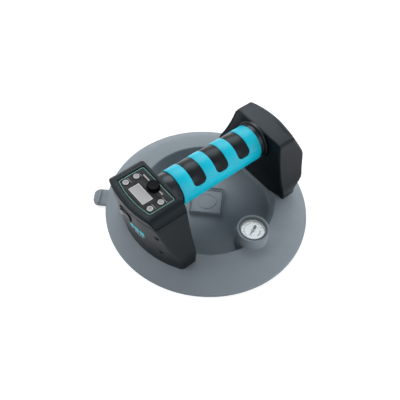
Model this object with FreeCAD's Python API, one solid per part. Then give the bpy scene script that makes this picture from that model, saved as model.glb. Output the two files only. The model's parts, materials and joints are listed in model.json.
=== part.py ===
import FreeCAD, Part
import math
import os

Vector = FreeCAD.Vector
UP = Vector(0, 0, 1)

# The lifter stands on its suction cup. The origin is the cup's centre on the sealing
# plane, +Z is up, and the handle runs along X: control head at -X, battery leg at +X.

# ---- suction cup and base plate
CUP_R = 102.5
CUP_EDGE_Z = 4.65
LIP_W = 5.0
LIP_PROUD = 0.7
LIP_BEAD = 1.3
LIP_SLOPE = 1.5
LIP_H = 3.65
CUP_SLOPE_RUN = 1.5
CUP_INNER_R = 74.6
CUP_CLAMP_Z = 9.3
TAB_ANGLE = 137.0
TAB_OUT = 13.5
TAB_W = 19.0
TAB_T = 3.0
TAB_Z = 1.6
TAB_RIDGE_IN = 6.0
TAB_RIDGE_H = 1.3
PLATE_R = 85.2
PLATE_EDGE_Z = 15.3
PLATE_WALL = 3.0
RIDGE_R = 67.6
RIDGE_Z = 18.0
RIDGE_ROUND = 1.6
WELL_R = 64.2
WELL_Z = 5.5
WELL_ROUND = 2.0
DOME_R = 54.0
DOME_Z = 9.0
PAD_SIDE = 33.5
PAD_Z = 10.3
PAD_RIM = 1.8
PAD_STEP = 0.5
PAD_CORNER = 3.0
SEAT_Z = 16.0
FOOT_X = 58.8
FOOT_HALF = 36.0

# ---- clamp ring under the rubber
CLAMP_OUTER_R = 83.0
CLAMP_T = 2.3
CLAMP_SCREWS = 8
CLAMP_PCD_R = 78.6
SCREW_FIT = 0.15
CLAMP_SCREW_D = 3.0
CLAMP_HEAD_D = 5.6
CLAMP_HEAD_H = 1.8
CLAMP_BITE = 2.0

# ---- end housings: both ends share the wall and the rounding of the inner face's rim
WALL = 2.5
INSIDE_CORNER = 0.6
INNER_ROUND = 1.5
KNEE_BOW = 0.8
FLARE_BOW = 1.1
SKIRT_Z = 10.0
PLATE_T = 3.0
FIT = 0.15
SEAT_MARGIN = 10.0

HEAD_FACE_X = 55.0
HEAD_TOP_Z = 86.9
HEAD_TOP_R = 97.0
HEAD_FOOT_R = 86.3
HEAD_CREASE_Z = 79.3
HEAD_SHOULDER_HALF = 35.0
HEAD_SHOULDER_ROUND = 10.5
HEAD_EDGE_ROUND = 1.8
HEAD_TOP_CORNER = 3.0
HEAD_FOOT_CORNER = 6.5
SEAM_H = 0.8
SEAM_IN = 0.6
HEAD_KNEE_HALF = 46.6
HEAD_KNEE_Z = 41.3
HEAD_FOOT_HALF = 50.4
HEAD_FOOT_TOP_Z = 28.0

LEG_FACE_X = 56.8
LEG_TOP_Z = 86.2
LEG_TOP_ROUND = 3.0
LEG_OUTER_R = 96.5
LEG_BREAK_Z = 58.8
LEG_BREAK_EASE = 3.5
LEG_SLOPE = 0.62
LEG_CORNER = 2.5
LEG_FOOT_R = 88.2
LEG_TUCK_Z = 36.0
LEG_CREASE_Z = 79.0
LEG_SHOULDER_HALF = 31.0
LEG_SHOULDER_SLOPE = 0.55
LEG_SHOULDER_ROUND = 1.5
LEG_KNEE_HALF = 45.4
LEG_KNEE_Z = 37.0
LEG_FOOT_HALF = 49.9
LEG_FOOT_TOP_Z = 25.0
LEG_SKIRT_START = 30.0
LEG_SKIRT_RUN = 12.0
LEG_SKIRT_Z = 19.8

# ---- screws that join each housing to its inner plate, driven from outside: each place
# is its distance in from the housing's side and its height
HEAD_BOSSES = ((15.3, 37.5), (5.5, 63.5))
LEG_BOSSES = ((6.9, 37.5), (6.9, 69.0))
BOSS_D = 5.0
CASE_SCREW_D = 2.4
CASE_HEAD_D = 4.2
CASE_HEAD_H = 1.6
CASE_SINK_D = 4.6
CASE_SINK_DEPTH = 9.0
CASE_THREAD = 8.0

# ---- screws that hold both ends down on the base plate
LUG_X = 61.6
LUG_Y = 18.0
LUG_W = 8.0
LUG_DEPTH = 8.0
LUG_H = 5.0
LUG_SCREW_D = 3.0
LUG_HEAD_D = 5.6
LUG_HEAD_H = 2.0
LUG_HEAD_RECESS = 1.0
LUG_TIP_COVER = 1.5

# ---- handle
GRIP_Z = 66.4
GRIP_R = 18.3
SLEEVE_T = 2.7
SLEEVE_X0 = -44.5
SLEEVE_X1 = 49.0
TUBE_WALL = 2.2
TUBE_FIT = 0.1
TUBE_STAND = 2.5
SLOT_W = 14.4
SLOT_PITCH = 26.4
SLOT_MID_X = 2.1
SLOT_HALF_ANGLE = 66.0
SLOT_ROUND = 5.0
SLOT_COUNT = 3
PAD_SINK = 0.35
COLLAR_R = 17.5
FLANGE_R = 20.2
FLANGE_T = 3.2
RING_R = 19.4
RING_T = 2.3

# ---- control panel in the cap
OVERLAY_T = 0.5
OVERLAY_SINK = 0.6
OVERLAY_X0 = 58.9
OVERLAY_HALF = 24.1
OVERLAY_R = 90.6
OVERLAY_ROUND = 1.6
CAP_SKIN = 2.5
BUTTON_D = 6.6
BUTTON_X = (70.9, 82.3)
BUTTON_Y = 17.8
BUTTON_PROUD = 0.6
BUTTON_TRAVEL = 0.7
BUTTON_GAP = 0.2
BUTTON_FLANGE_D = 8.6
BUTTON_FLANGE_T = 0.8
BUTTON_ROUND = 0.4
LCD_X = (73.8, 84.7)
LCD_HALF = 10.6
LCD_T = 0.9
LCD_FRAME = 1.6
KNOB_X = 66.2
KNOB_Y = -0.9
KNOB_D = 12.4
KNOB_TOP_D = 10.4
KNOB_H = 3.6
KNOB_LIFT = 0.3
KNOB_ROUND = 1.2
KNOB_STEM_D = 4.0
RUN_FIT = 0.05
POT_SIDE = 8.6
POT_H = 3.0
BUTTON_AIR = 0.1
BOARD_Z = 79.6
BOARD_T = 1.6
BOARD_X = (61.8, 89.0)
BOARD_HALF = 23.0
BOARD_ROUND = 3.0
SWITCH_SIDE = 6.0
POST_D = 3.6
POST_PLACES = ((76.6, 20.6), (64.4, 13.0))
BOARD_SCREW_D = 1.8
BOARD_HEAD_D = 3.4
BOARD_HEAD_H = 1.0
BOARD_SCREW_BITE = 2.4

# ---- rocker switch in the front of the head
ROCKER_Y = 3.4
ROCKER_Z = 66.0
ROCKER_L = 11.6
ROCKER_W = 7.6
ROCKER_PIVOT_IN = 1.6
ROCKER_ANGLE = 9.0
ROCKER_PROUD = 1.9
ROCKER_DIP = 1.1
ROCKER_DEEP = 4.0
ROCKER_ROOM = 5.6
ROCKER_END_GAP = 0.75
ROCKER_SIDE_GAP = 0.25
ROCKER_PIN_D = 1.6
ROCKER_PIN_L = 0.7
ROCKER_BEZEL_L = 15.4
ROCKER_BEZEL_W = 10.8
ROCKER_BEZEL_T = 1.0
ROCKER_BODY_DEPTH = 11.0
ROCKER_SEAT = 0.9

# ---- vacuum pump and its hose
PUMP_X = 70.5
PUMP_Z = 36.0
PUMP_Y0 = -28.5
MOTOR_D = 22.0
MOTOR_L = 27.0
MOTOR_SKIN = 0.8
MOTOR_END_T = 2.0
ARMATURE_D = 16.0
ARMATURE_L = 16.0
SHAFT_D = 2.0
PUMP_HEAD_D = 24.0
PUMP_HEAD_L = 24.0
CRANK_ROOM_D = 15.0
CRANK_ROOM_L = 8.0
CRANK_D = 9.0
CRANK_L = 5.0
CRANK_THROW = 1.5
CRADLE_HALF = 13.0
CRADLE_W = 18.0
CRADLE_TOP_Z = 29.0
PORT_X = 66.0
PORT_Y = 31.0
PORT_BORE_D = 1.8
HOSE_D = 5.6
HOSE_BORE_D = 3.4
HOSE_Z = 28.6
HOSE_BEND = 6.0
HOSE_GRIP = 0.4
NIPPLE_L = 5.0
FILTER_D = 3.2
FILTER_T = 1.4

# ---- battery pack and lead in the leg
CELL_D = 18.4
CELL_L = 65.2
CELL_X = 71.9
CELL_LOW_Z = 33.6
CELL_PITCH = 19.4
HOLDER_END_T = 1.6
HOLDER_SPINE_T = 2.0
HOLDER_Z = (24.0, 57.0)
HOLDER_SPINE_TOP_Z = 46.0
HOLDER_REACH = 78.0
LEAD_D = 4.0
LEAD_Z = 55.6
LEAD_BEND = 9.0
LEAD_UP_X = 70.5

# ---- vacuum gauge
GAUGE_X = 4.5
GAUGE_Y = -62.0
GAUGE_TOP_Z = 30.0
GAUGE_TOP_D = 31.0
GAUGE_DRAFT = 0.9
GAUGE_BORE_D = 27.4
GAUGE_FLOOR_Z = 15.2
GAUGE_CASE_D = 27.0
GAUGE_CASE_WALL = 1.2
GAUGE_DIAL_D = 23.6
GAUGE_DIAL_T = 0.6
GAUGE_DIAL_DROP = 4.2
GAUGE_LENS_DROP = 0.9
GAUGE_LENS_T = 1.2
GAUGE_BEZEL_W = 1.7
MOVEMENT_D = 16.0
ARBOR_D = 1.0
NEEDLE_L = 7.8
NEEDLE_TAIL = 6.4
NEEDLE_W = 1.1
NEEDLE_TAIL_W = 2.6
NEEDLE_T = 0.4
NEEDLE_HUB_D = 2.6
NEEDLE_AIR = 0.5
NEEDLE_ANGLE = 202.0


def block(x0, x1, y0, y1, z0, z1):
    return Part.makeBox(x1 - x0, y1 - y0, z1 - z0, Vector(x0, y0, z0))


def rod(diameter, start, end):
    axis = end - start
    return Part.makeCylinder(diameter / 2, axis.Length, start, axis)


def tube(outer_d, inner_d, start, end):
    return rod(outer_d, start, end).cut(rod(inner_d, start, end))


def disc(diameter, x, y, z0, z1):
    return rod(diameter, Vector(x, y, z0), Vector(x, y, z1))


def in_section(r, z):
    return Vector(r, 0, z)


def closed_face(place, start, steps):
    """Face inside an outline; a step is a point, or (through, end) for an arc."""
    edges = []
    here = start
    for step in list(steps) + [start]:
        if isinstance(step[0], tuple):
            through, end = step
            edges.append(Part.Arc(place(*here), place(*through), place(*end)).toShape())
        else:
            end = step
            edges.append(Part.LineSegment(place(*here), place(*end)).toShape())
        here = end
    return Part.Face(Part.Wire(edges))


def turned(start, steps):
    return closed_face(in_section, start, steps).revolve(Vector(), UP, 360)


def corner_arc(before, corner, after, radius):
    """Start, middle and end of the tangent arc that rounds an outline's corner."""
    tip = Vector(*corner)
    into = (tip - Vector(*before)).normalize()
    out = (Vector(*after) - tip).normalize()
    half_turn = into.getAngle(out) / 2
    reach = radius * math.tan(half_turn)
    inward = (out - into).normalize()
    middle = tip + inward * (radius / math.cos(half_turn) - radius)
    return [(point.x, point.y) for point in (tip - into * reach, middle, tip + out * reach)]


def upright_edges(shape):
    return [edge for edge in shape.Edges
            if edge.BoundBox.XLength < 1e-4 and edge.BoundBox.YLength < 1e-4]


def one_solid(shape):
    return shape.removeSplitter().Solids[0] if len(shape.Solids) == 1 else shape


# ---------------------------------------------------------------- base plate and cup

def annulus_z(r):
    """Top of the plate's outer slope, and of its line carried on past the edge."""
    return PLATE_EDGE_Z + (RIDGE_Z - PLATE_EDGE_Z) * (PLATE_R - r) / (PLATE_R - RIDGE_R)


def dome_mid(z_drop):
    """Point half way out on the dome, which is part of a ball."""
    rise = DOME_Z - WELL_Z
    ball_r = (DOME_R ** 2 + rise ** 2) / (2 * rise)
    return (DOME_R / 2, DOME_Z - z_drop - ball_r + math.sqrt(ball_r ** 2 - DOME_R ** 2 / 4))


def well_wall_r(z):
    """Radius of the wall that rises from the well to the ridge."""
    return WELL_R + (RIDGE_R - WELL_R) * (z - WELL_Z) / (RIDGE_Z - WELL_Z)


def seat_tool():
    """Everything below the surfaces that the two ends stand on."""
    far_r = CUP_R + SEAT_MARGIN
    step_r = well_wall_r(SEAT_Z) - FIT
    return turned((0, -1), [(far_r, -1), (far_r, annulus_z(far_r)), (RIDGE_R, RIDGE_Z),
                            (step_r, RIDGE_Z), (step_r, SEAT_Z), (0, SEAT_Z)])


def under_slope():
    """Space below the middle of the plate's outer slope, clear for the rubber."""
    inner_r = RIDGE_R + PLATE_WALL / 2
    return turned((inner_r, 0), [
        (CUP_R, 0), (CUP_R, annulus_z(CUP_R) - PLATE_WALL / 2),
        (inner_r, annulus_z(inner_r) - PLATE_WALL / 2)])


def plate_disc():
    under_well_r = WELL_R + PLATE_WALL
    under_ridge_r = RIDGE_R + PLATE_WALL
    dome_edge = (DOME_R, WELL_Z)
    well = (WELL_R, WELL_Z)
    ridge = (RIDGE_R, RIDGE_Z)
    rim = (PLATE_R, PLATE_EDGE_Z)
    well_start, well_mid, well_end = corner_arc(dome_edge, well, ridge, WELL_ROUND)
    ridge_start, ridge_mid, ridge_end = corner_arc(well, ridge, rim, RIDGE_ROUND)
    return turned((0, DOME_Z), [
        (dome_mid(0), dome_edge),
        well_start, (well_mid, well_end),
        ridge_start, (ridge_mid, ridge_end),
        rim, (PLATE_R, PLATE_EDGE_Z - PLATE_WALL),
        (under_ridge_r, annulus_z(under_ridge_r) - PLATE_WALL),
        (under_well_r, WELL_Z - PLATE_WALL),
        (DOME_R, WELL_Z - PLATE_WALL),
        (dome_mid(PLATE_WALL), (0, DOME_Z - PLATE_WALL))])


def square_pad():
    """Raised square boss at the centre, turned 45 degrees, with a stepped rim."""
    half = PAD_SIDE / 2
    low = block(-half, half, -half, half, DOME_Z - 2, PAD_Z - PAD_STEP)
    low = low.makeFillet(PAD_CORNER, upright_edges(low))
    inner = half - PAD_RIM
    high = block(-inner, inner, -inner, inner, DOME_Z - 1, PAD_Z)
    high = high.makeFillet(PAD_CORNER - PAD_RIM / 2, upright_edges(high))
    pad = low.fuse(high)
    pad.rotate(Vector(), UP, 45)
    return pad


def foot_block(side):
    ends = sorted((side * FOOT_X, side * RIDGE_R))
    solid = block(ends[0], ends[1], -FOOT_HALF, FOOT_HALF, WELL_Z - PLATE_WALL / 2, SEAT_Z)
    return solid.common(disc(2 * well_wall_r(SEAT_Z), 0, 0, 0, SEAT_Z))


def gauge_boss():
    base_r = GAUGE_TOP_D / 2 + GAUGE_DRAFT
    base_z = WELL_Z - PLATE_WALL / 2
    boss = Part.makeCone(base_r, GAUGE_TOP_D / 2, GAUGE_TOP_Z - base_z,
                         Vector(GAUGE_X, GAUGE_Y, base_z))
    return boss.cut(under_slope())


def lug_screw_places():
    for side in (-1, 1):
        for y in (-LUG_Y, LUG_Y):
            yield side, side * LUG_X, y


def clamp_screw_places():
    for index in range(CLAMP_SCREWS):
        angle = math.radians(360 / CLAMP_SCREWS * (index + 0.5))
        yield CLAMP_PCD_R * math.cos(angle), CLAMP_PCD_R * math.sin(angle)


def lug_head_z():
    return WELL_Z - PLATE_WALL + LUG_HEAD_RECESS


def clamp_tip_z():
    return annulus_z(CLAMP_PCD_R) - PLATE_WALL + CLAMP_BITE


def port_top_z():
    return annulus_z(math.hypot(PORT_X, PORT_Y)) + NIPPLE_L


def port_mouth_z():
    return annulus_z(math.hypot(PORT_X, PORT_Y)) - PLATE_WALL


def base_plate():
    plate = plate_disc().fuse([square_pad(), gauge_boss(),
                               foot_block(-1), foot_block(1),
                               disc(HOSE_BORE_D, -PORT_X, PORT_Y, port_top_z() - NIPPLE_L - 1,
                                    port_top_z())])
    cuts = [disc(GAUGE_BORE_D, GAUGE_X, GAUGE_Y, GAUGE_FLOOR_Z, GAUGE_TOP_Z + 1),
            disc(PORT_BORE_D, GAUGE_X, GAUGE_Y, 0, GAUGE_FLOOR_Z + 1),
            disc(PORT_BORE_D, -PORT_X, PORT_Y, 0, port_top_z() + 1),
            disc(FILTER_D + 2 * FIT, -PORT_X, PORT_Y, port_mouth_z() - 2,
                 port_mouth_z() + FILTER_T)]
    for _, x, y in lug_screw_places():
        cuts.append(disc(LUG_SCREW_D + 2 * SCREW_FIT, x, y, 0, SEAT_Z + 1))
        cuts.append(disc(LUG_HEAD_D + 2 * SCREW_FIT, x, y, 0, lug_head_z() + LUG_HEAD_H))
    for x, y in clamp_screw_places():
        cuts.append(disc(CLAMP_SCREW_D, x, y, 0, clamp_tip_z()))
    return one_solid(plate.cut(cuts))


def release_tab():
    """Pull tab on the rim, moulded along +X and then turned to its place."""
    root_x = CUP_R - LIP_W
    tip_x = CUP_R + TAB_OUT
    ridge_x = tip_x - TAB_RIDGE_IN
    end_r = TAB_W / 3
    tab = block(root_x, tip_x, -TAB_W / 2, TAB_W / 2, TAB_Z, TAB_Z + TAB_T)
    ends = [edge for edge in upright_edges(tab) if edge.BoundBox.XMin > root_x + 1]
    tab = tab.makeFillet(end_r, ends)
    ridge = rod(2 * TAB_RIDGE_H, Vector(ridge_x, -TAB_W / 2 + 1, TAB_Z + TAB_T),
                Vector(ridge_x, TAB_W / 2 - 1, TAB_Z + TAB_T))
    tab = tab.fuse(ridge)
    tab.rotate(Vector(), UP, TAB_ANGLE)
    return tab


def suction_cup():
    lip_in = CUP_R - LIP_W
    bead_r = CUP_R + LIP_PROUD
    slope_in = PLATE_R + CUP_SLOPE_RUN
    under_edge = PLATE_EDGE_Z - PLATE_WALL
    inner_top = annulus_z(CUP_INNER_R) - PLATE_WALL
    cup = turned((PLATE_R, PLATE_EDGE_Z), [
        (CUP_R, CUP_EDGE_Z),
        (CUP_R, LIP_BEAD + LIP_PROUD),
        (bead_r, LIP_BEAD),
        (bead_r, LIP_PROUD / 2),
        (bead_r - LIP_PROUD / 2, 0),
        (lip_in, 0),
        (lip_in - LIP_SLOPE, LIP_H),
        (slope_in, CUP_CLAMP_Z),
        (CUP_INNER_R, CUP_CLAMP_Z),
        (CUP_INNER_R, inner_top),
        (PLATE_R, under_edge)])
    cup = cup.fuse(release_tab())
    holes = [disc(CLAMP_SCREW_D + 2 * SCREW_FIT, x, y, 0, PLATE_EDGE_Z)
             for x, y in clamp_screw_places()]
    return one_solid(cup.cut(holes))


def clamp_ring():
    low = CUP_CLAMP_Z - CLAMP_T
    ring = tube(2 * CLAMP_OUTER_R, 2 * CUP_INNER_R, Vector(0, 0, low), Vector(0, 0, CUP_CLAMP_Z))
    holes = [disc(CLAMP_SCREW_D + 2 * SCREW_FIT, x, y, 0, PLATE_EDGE_Z)
             for x, y in clamp_screw_places()]
    return ring.cut(holes)


def clamp_screws():
    head_top = CUP_CLAMP_Z - CLAMP_T
    screws = []
    for x, y in clamp_screw_places():
        head = disc(CLAMP_HEAD_D, x, y, head_top - CLAMP_HEAD_H, head_top)
        shank = disc(CLAMP_SCREW_D, x, y, head_top - CLAMP_HEAD_H / 2, clamp_tip_z())
        screws.append(head.fuse(shank).removeSplitter().Solids[0])
    return screws


def inlet_filter():
    return disc(FILTER_D, -PORT_X, PORT_Y, port_mouth_z(), port_mouth_z() + FILTER_T)


# ---------------------------------------------------------------- the two end housings

def flare(z, shoulder_half, crease_z, knee_half, knee_z, foot_half, foot_top_z):
    """Half width of an end housing: upright foot, rounded knee, then a hollow flare."""
    if z <= foot_top_z:
        return foot_half
    if z <= knee_z:
        t = (z - foot_top_z) / (knee_z - foot_top_z)
        return foot_half + (knee_half - foot_half) * t + KNEE_BOW * 4 * t * (1 - t)
    t = (z - knee_z) / (crease_z - knee_z)
    return knee_half + (shoulder_half - knee_half) * t - FLARE_BOW * 4 * t * (1 - t)


def rounded_over(limit, top, radius, z, inset):
    """A size that a quarter round draws in towards the top; inset keeps the same centre."""
    left = max(radius - inset, 0)
    rise = min(max(z - top + radius, 0), left)
    return min(limit - inset, limit - radius + math.sqrt(left ** 2 - rise ** 2))


def head_half(z, inset):
    if z <= HEAD_CREASE_Z:
        return flare(z, HEAD_SHOULDER_HALF, HEAD_CREASE_Z, HEAD_KNEE_HALF, HEAD_KNEE_Z,
                     HEAD_FOOT_HALF, HEAD_FOOT_TOP_Z) - inset
    return rounded_over(HEAD_SHOULDER_HALF, HEAD_TOP_Z, HEAD_SHOULDER_ROUND, z, inset)


def head_radius(z, inset=0.0):
    lean = (HEAD_TOP_R - HEAD_FOOT_R) / (HEAD_TOP_Z - PLATE_EDGE_Z)
    limit = HEAD_TOP_R - lean * (HEAD_TOP_Z - z)
    return rounded_over(limit, HEAD_TOP_Z, HEAD_EDGE_ROUND, z, inset)


def head_corner(z):
    t = min(max((z - HEAD_FOOT_TOP_Z) / (HEAD_CREASE_Z - HEAD_FOOT_TOP_Z), 0), 1)
    return HEAD_FOOT_CORNER + (HEAD_TOP_CORNER - HEAD_FOOT_CORNER) * t


def leg_half(z, inset):
    if z <= LEG_CREASE_Z:
        return flare(z, LEG_SHOULDER_HALF, LEG_CREASE_Z, LEG_KNEE_HALF, LEG_KNEE_Z,
                     LEG_FOOT_HALF, LEG_FOOT_TOP_Z) - inset
    limit = LEG_SHOULDER_HALF - LEG_SHOULDER_SLOPE * (z - LEG_CREASE_Z)
    return rounded_over(limit, LEG_TOP_Z, LEG_SHOULDER_ROUND, z, inset)


def leg_lean(z):
    """How far the leg's outer wall has come in at a height, past its soft bend."""
    bend = min(max(z - LEG_BREAK_Z + LEG_BREAK_EASE, 0), 2 * LEG_BREAK_EASE)
    straight = max(z - LEG_BREAK_Z - LEG_BREAK_EASE, 0)
    return LEG_SLOPE * (bend ** 2 / (4 * LEG_BREAK_EASE) + straight)


def leg_radius(z, inset=0.0):
    if z <= LEG_FOOT_TOP_Z:
        return LEG_FOOT_R - inset
    if z <= LEG_TUCK_Z:
        t = (z - LEG_FOOT_TOP_Z) / (LEG_TUCK_Z - LEG_FOOT_TOP_Z)
        return LEG_FOOT_R + (LEG_OUTER_R - LEG_FOOT_R) * (1 - math.cos(math.pi * t)) / 2 - inset
    return rounded_over(LEG_OUTER_R - leg_lean(z), LEG_TOP_Z, LEG_TOP_ROUND, z, inset)


def leg_corner(z):
    return LEG_CORNER


HEAD_FORM = (head_half, head_radius, head_corner)
LEG_FORM = (leg_half, leg_radius, leg_corner)


def plan_section(side, face_x, half, radius, corner, inner, z):
    """Plan outline: flat inner face, straight sides, rounded corners, round front."""
    centre_y = half - corner
    centre_x = math.sqrt((radius - corner) ** 2 - centre_y ** 2)
    scale = radius / (radius - corner)
    bend = math.pi / 4 + math.atan2(centre_y, centre_x) / 2

    def at(x, y):
        return Vector(side * x, y, z)

    short = 1 - math.sqrt(0.5)
    flanks = []
    for sign in (-1, 1):
        side_start = at(face_x + inner, sign * half)
        side_end = at(centre_x, sign * half)
        front_end = at(centre_x * scale, sign * centre_y * scale)
        through = at(centre_x + corner * math.cos(bend),
                     sign * (centre_y + corner * math.sin(bend)))
        flank = [Part.LineSegment(side_start, side_end).toShape(),
                 Part.Arc(side_end, through, front_end).toShape()]
        if inner:
            rim = Part.Arc(at(face_x, sign * (half - inner)),
                           at(face_x + inner * short, sign * (half - inner * short)), side_start)
            flank.insert(0, rim.toShape())
        flanks.append(flank)
    back_half = half - inner
    back = Part.LineSegment(at(face_x, back_half), at(face_x, -back_half)).toShape()
    front = Part.Arc(at(centre_x * scale, -centre_y * scale), at(radius, 0),
                     at(centre_x * scale, centre_y * scale)).toShape()
    return Part.Wire([back] + flanks[0] + [front] + flanks[1][::-1])


def end_loft(side, face_x, form, levels, inset):
    """Loft through plan outlines; the form gives half width, radius and corner at a height."""
    half_at, radius_at, corner_at = form
    inner = 0 if inset else INNER_ROUND
    sections = [plan_section(side, face_x, half_at(z, inset), radius_at(z, inset),
                             max(corner_at(z) - inset, INSIDE_CORNER), inner, z)
                for z in levels]
    return Part.makeLoft(sections, True, True)


def between(low, high, count):
    """Evenly spaced heights above low, up to and with high."""
    return [low + (high - low) * (step + 1) / count for step in range(count)]


def round_levels(top, radius, low, inset):
    """Heights above low at even steps of angle round a top edge."""
    left = max(radius - inset, 0)
    levels = {top - max(radius, inset) + left * math.sin(math.radians(angle))
              for angle in (0, 22, 42, 60, 76, 90)}
    return sorted(z for z in levels if z > low + 0.3)


def head_body(inset):
    levels = ([SKIRT_Z, HEAD_FOOT_TOP_Z] + between(HEAD_FOOT_TOP_Z, HEAD_KNEE_Z, 4)
              + between(HEAD_KNEE_Z, HEAD_CREASE_Z, 5))
    return end_loft(-1, HEAD_FACE_X, HEAD_FORM, levels, inset)


def cap_body(inset):
    levels = [HEAD_CREASE_Z] + round_levels(HEAD_TOP_Z, HEAD_SHOULDER_ROUND, HEAD_CREASE_Z, inset)
    return end_loft(-1, HEAD_FACE_X, HEAD_FORM, levels, inset)


def leg_body(inset):
    bend_start = LEG_BREAK_Z - LEG_BREAK_EASE
    bend_end = LEG_BREAK_Z + LEG_BREAK_EASE
    levels = ([SKIRT_Z, LEG_FOOT_TOP_Z] + between(LEG_FOOT_TOP_Z, LEG_TUCK_Z, 5)
              + between(LEG_TUCK_Z, bend_start, 3) + between(bend_start, bend_end, 4)
              + between(bend_end, LEG_CREASE_Z, 3)
              + round_levels(LEG_TOP_Z, LEG_TOP_ROUND, LEG_CREASE_Z, inset))
    return end_loft(1, LEG_FACE_X, LEG_FORM, levels, inset)


def under_cap():
    """Ring cut from the head just under its cap, for the shadow line of the joint."""
    low = HEAD_CREASE_Z - SEAM_H
    reach = HEAD_TOP_R + SEAT_MARGIN
    ring = block(-reach, 0, -reach, reach, low, HEAD_CREASE_Z)
    return ring.cut(end_loft(-1, HEAD_FACE_X, HEAD_FORM, [low, HEAD_CREASE_Z], SEAM_IN))


def under_skirt():
    """Room below the leg's raised side skirts, clear of the rubber."""
    half = LEG_FOOT_HALF + SEAT_MARGIN
    room = []
    for sign in (-1, 1):
        face = Part.Face(Part.makePolygon([
            Vector(0, sign * LEG_SKIRT_START, 0), Vector(0, sign * LEG_SKIRT_START, SEAT_Z),
            Vector(0, sign * (LEG_SKIRT_START + LEG_SKIRT_RUN), LEG_SKIRT_Z),
            Vector(0, sign * half, LEG_SKIRT_Z), Vector(0, sign * half, 0),
            Vector(0, sign * LEG_SKIRT_START, 0)]))
        room.append(face.extrude(Vector(LEG_OUTER_R + SEAT_MARGIN, 0, 0)))
    return room


def top_rim(side, face_x, top_z):
    """Takes the sharp edge off the top of an inner face."""
    x0, x1 = sorted((side * (face_x - 1), side * (face_x + INNER_ROUND)))
    low = top_z - INNER_ROUND
    centre_x = side * (face_x + INNER_ROUND)
    return block(x0, x1, -CUP_R, CUP_R, low, top_z + 1).cut(
        rod(2 * INNER_ROUND, Vector(centre_x, -CUP_R, low), Vector(centre_x, CUP_R, low)))


def case_screws_of(bosses, side, form):
    """Both sides' screw places, with the distance out to the housing's round wall."""
    half_at, radius_at, _ = form
    for inset, z in bosses:
        y = half_at(z, inset)
        for sign in (-1, 1):
            yield side, sign * y, z, math.sqrt(radius_at(z) ** 2 - y ** 2)


def along_x(diameter, side, x0, x1, y, z):
    return rod(diameter, Vector(side * x0, y, z), Vector(side * x1, y, z))


def screwed_shell(body, cavity, screws):
    """Hollow housing with a sleeve round each deep screw recess."""
    sleeves = []
    cuts = []
    for side, y, z, out in screws:
        floor = out - CASE_SINK_DEPTH
        sleeve = along_x(CASE_SINK_D + WALL, side, floor - WALL / 2, out, y, z)
        sleeves.append(sleeve.common(body))
        cuts.append(along_x(CASE_SINK_D, side, floor, out + 5, y, z))
        cuts.append(along_x(CASE_SCREW_D + 2 * SCREW_FIT, side, floor - WALL, out + 5, y, z))
    return body.cut(cavity).fuse(sleeves).cut(cuts)


def inner_plate(side, face_x, form, top_z, screws):
    """Flat plate that closes a housing towards the grip, with screw bosses and foot lugs."""
    ends = sorted((side * face_x, side * (face_x + PLATE_T)))
    slab = block(ends[0], ends[1], -HEAD_FOOT_HALF, HEAD_FOOT_HALF, SKIRT_Z, top_z)
    solids = []
    cuts = [along_x(2 * sleeve_inner_r(), side, face_x - 1, face_x + PLATE_T + 1, 0, GRIP_Z),
            seat_tool()]
    root = face_x + PLATE_T / 2
    for _, y, z, out in screws:
        tip = out - CASE_SINK_DEPTH - WALL / 2
        solids.append(along_x(BOSS_D, side, root, tip, y, z))
        cuts.append(along_x(CASE_SCREW_D, side, tip - CASE_THREAD, tip + 1, y, z))
    for lug_side, x, y in lug_screw_places():
        if lug_side != side:
            continue
        low, high = sorted((side * root, side * (face_x + PLATE_T + LUG_DEPTH)))
        solids.append(block(low, high, y - LUG_W / 2, y + LUG_W / 2, SKIRT_Z, SEAT_Z + LUG_H))
        cuts.append(disc(LUG_SCREW_D, x, y, 0, lug_tip_z()))
    return one_solid(form.common(slab).fuse(solids).cut(cuts))


def lug_tip_z():
    return SEAT_Z + LUG_H - LUG_TIP_COVER


def head_screws():
    return list(case_screws_of(HEAD_BOSSES, -1, HEAD_FORM))


def leg_screws():
    return list(case_screws_of(LEG_BOSSES, 1, LEG_FORM))


def head_housing():
    body = head_body(0).cut([seat_tool(), under_cap()])
    shell = screwed_shell(body, head_body(WALL), head_screws())
    return one_solid(shell.cut(on_face(rocker_hole(ROCKER_SEAT + FIT, -ROCKER_BODY_DEPTH, 5))))


def head_inner_plate():
    return inner_plate(-1, HEAD_FACE_X, head_body(WALL + FIT), HEAD_CREASE_Z - FIT, head_screws())


def leg_housing():
    body = leg_body(0).cut([seat_tool(), top_rim(1, LEG_FACE_X, LEG_TOP_Z)] + under_skirt())
    return one_solid(screwed_shell(body, leg_body(WALL), leg_screws()))


def leg_inner_plate():
    form = leg_body(WALL + FIT).cut(under_skirt())
    return inner_plate(1, LEG_FACE_X, form, LEG_TOP_Z, leg_screws())


def case_screws():
    screws = []
    for side, y, z, out in head_screws() + leg_screws():
        floor = out - CASE_SINK_DEPTH
        head = along_x(CASE_HEAD_D, side, floor, floor + CASE_HEAD_H, y, z)
        shank = along_x(CASE_SCREW_D, side, floor - CASE_THREAD, floor + CASE_HEAD_H / 2, y, z)
        socket = along_x(CASE_SCREW_D * 0.6, side, floor + CASE_HEAD_H / 2,
                         floor + CASE_HEAD_H + 1, y, z)
        screws.append(one_solid(head.fuse(shank).cut(socket)))
    return screws


def lug_screws():
    screws = []
    for _, x, y in lug_screw_places():
        head = disc(LUG_HEAD_D, x, y, lug_head_z(), lug_head_z() + LUG_HEAD_H)
        shank = disc(LUG_SCREW_D, x, y, lug_head_z() + LUG_HEAD_H / 2, lug_tip_z())
        socket = disc(LUG_SCREW_D * 0.6, x, y, lug_head_z() - 1, lug_head_z() + LUG_HEAD_H / 2)
        screws.append(one_solid(head.fuse(shank).cut(socket)))
    return screws


# ---------------------------------------------------------------- control panel

def overlay_top_z():
    return HEAD_TOP_Z - OVERLAY_SINK


def skin_low_z():
    return HEAD_TOP_Z - CAP_SKIN


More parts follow.
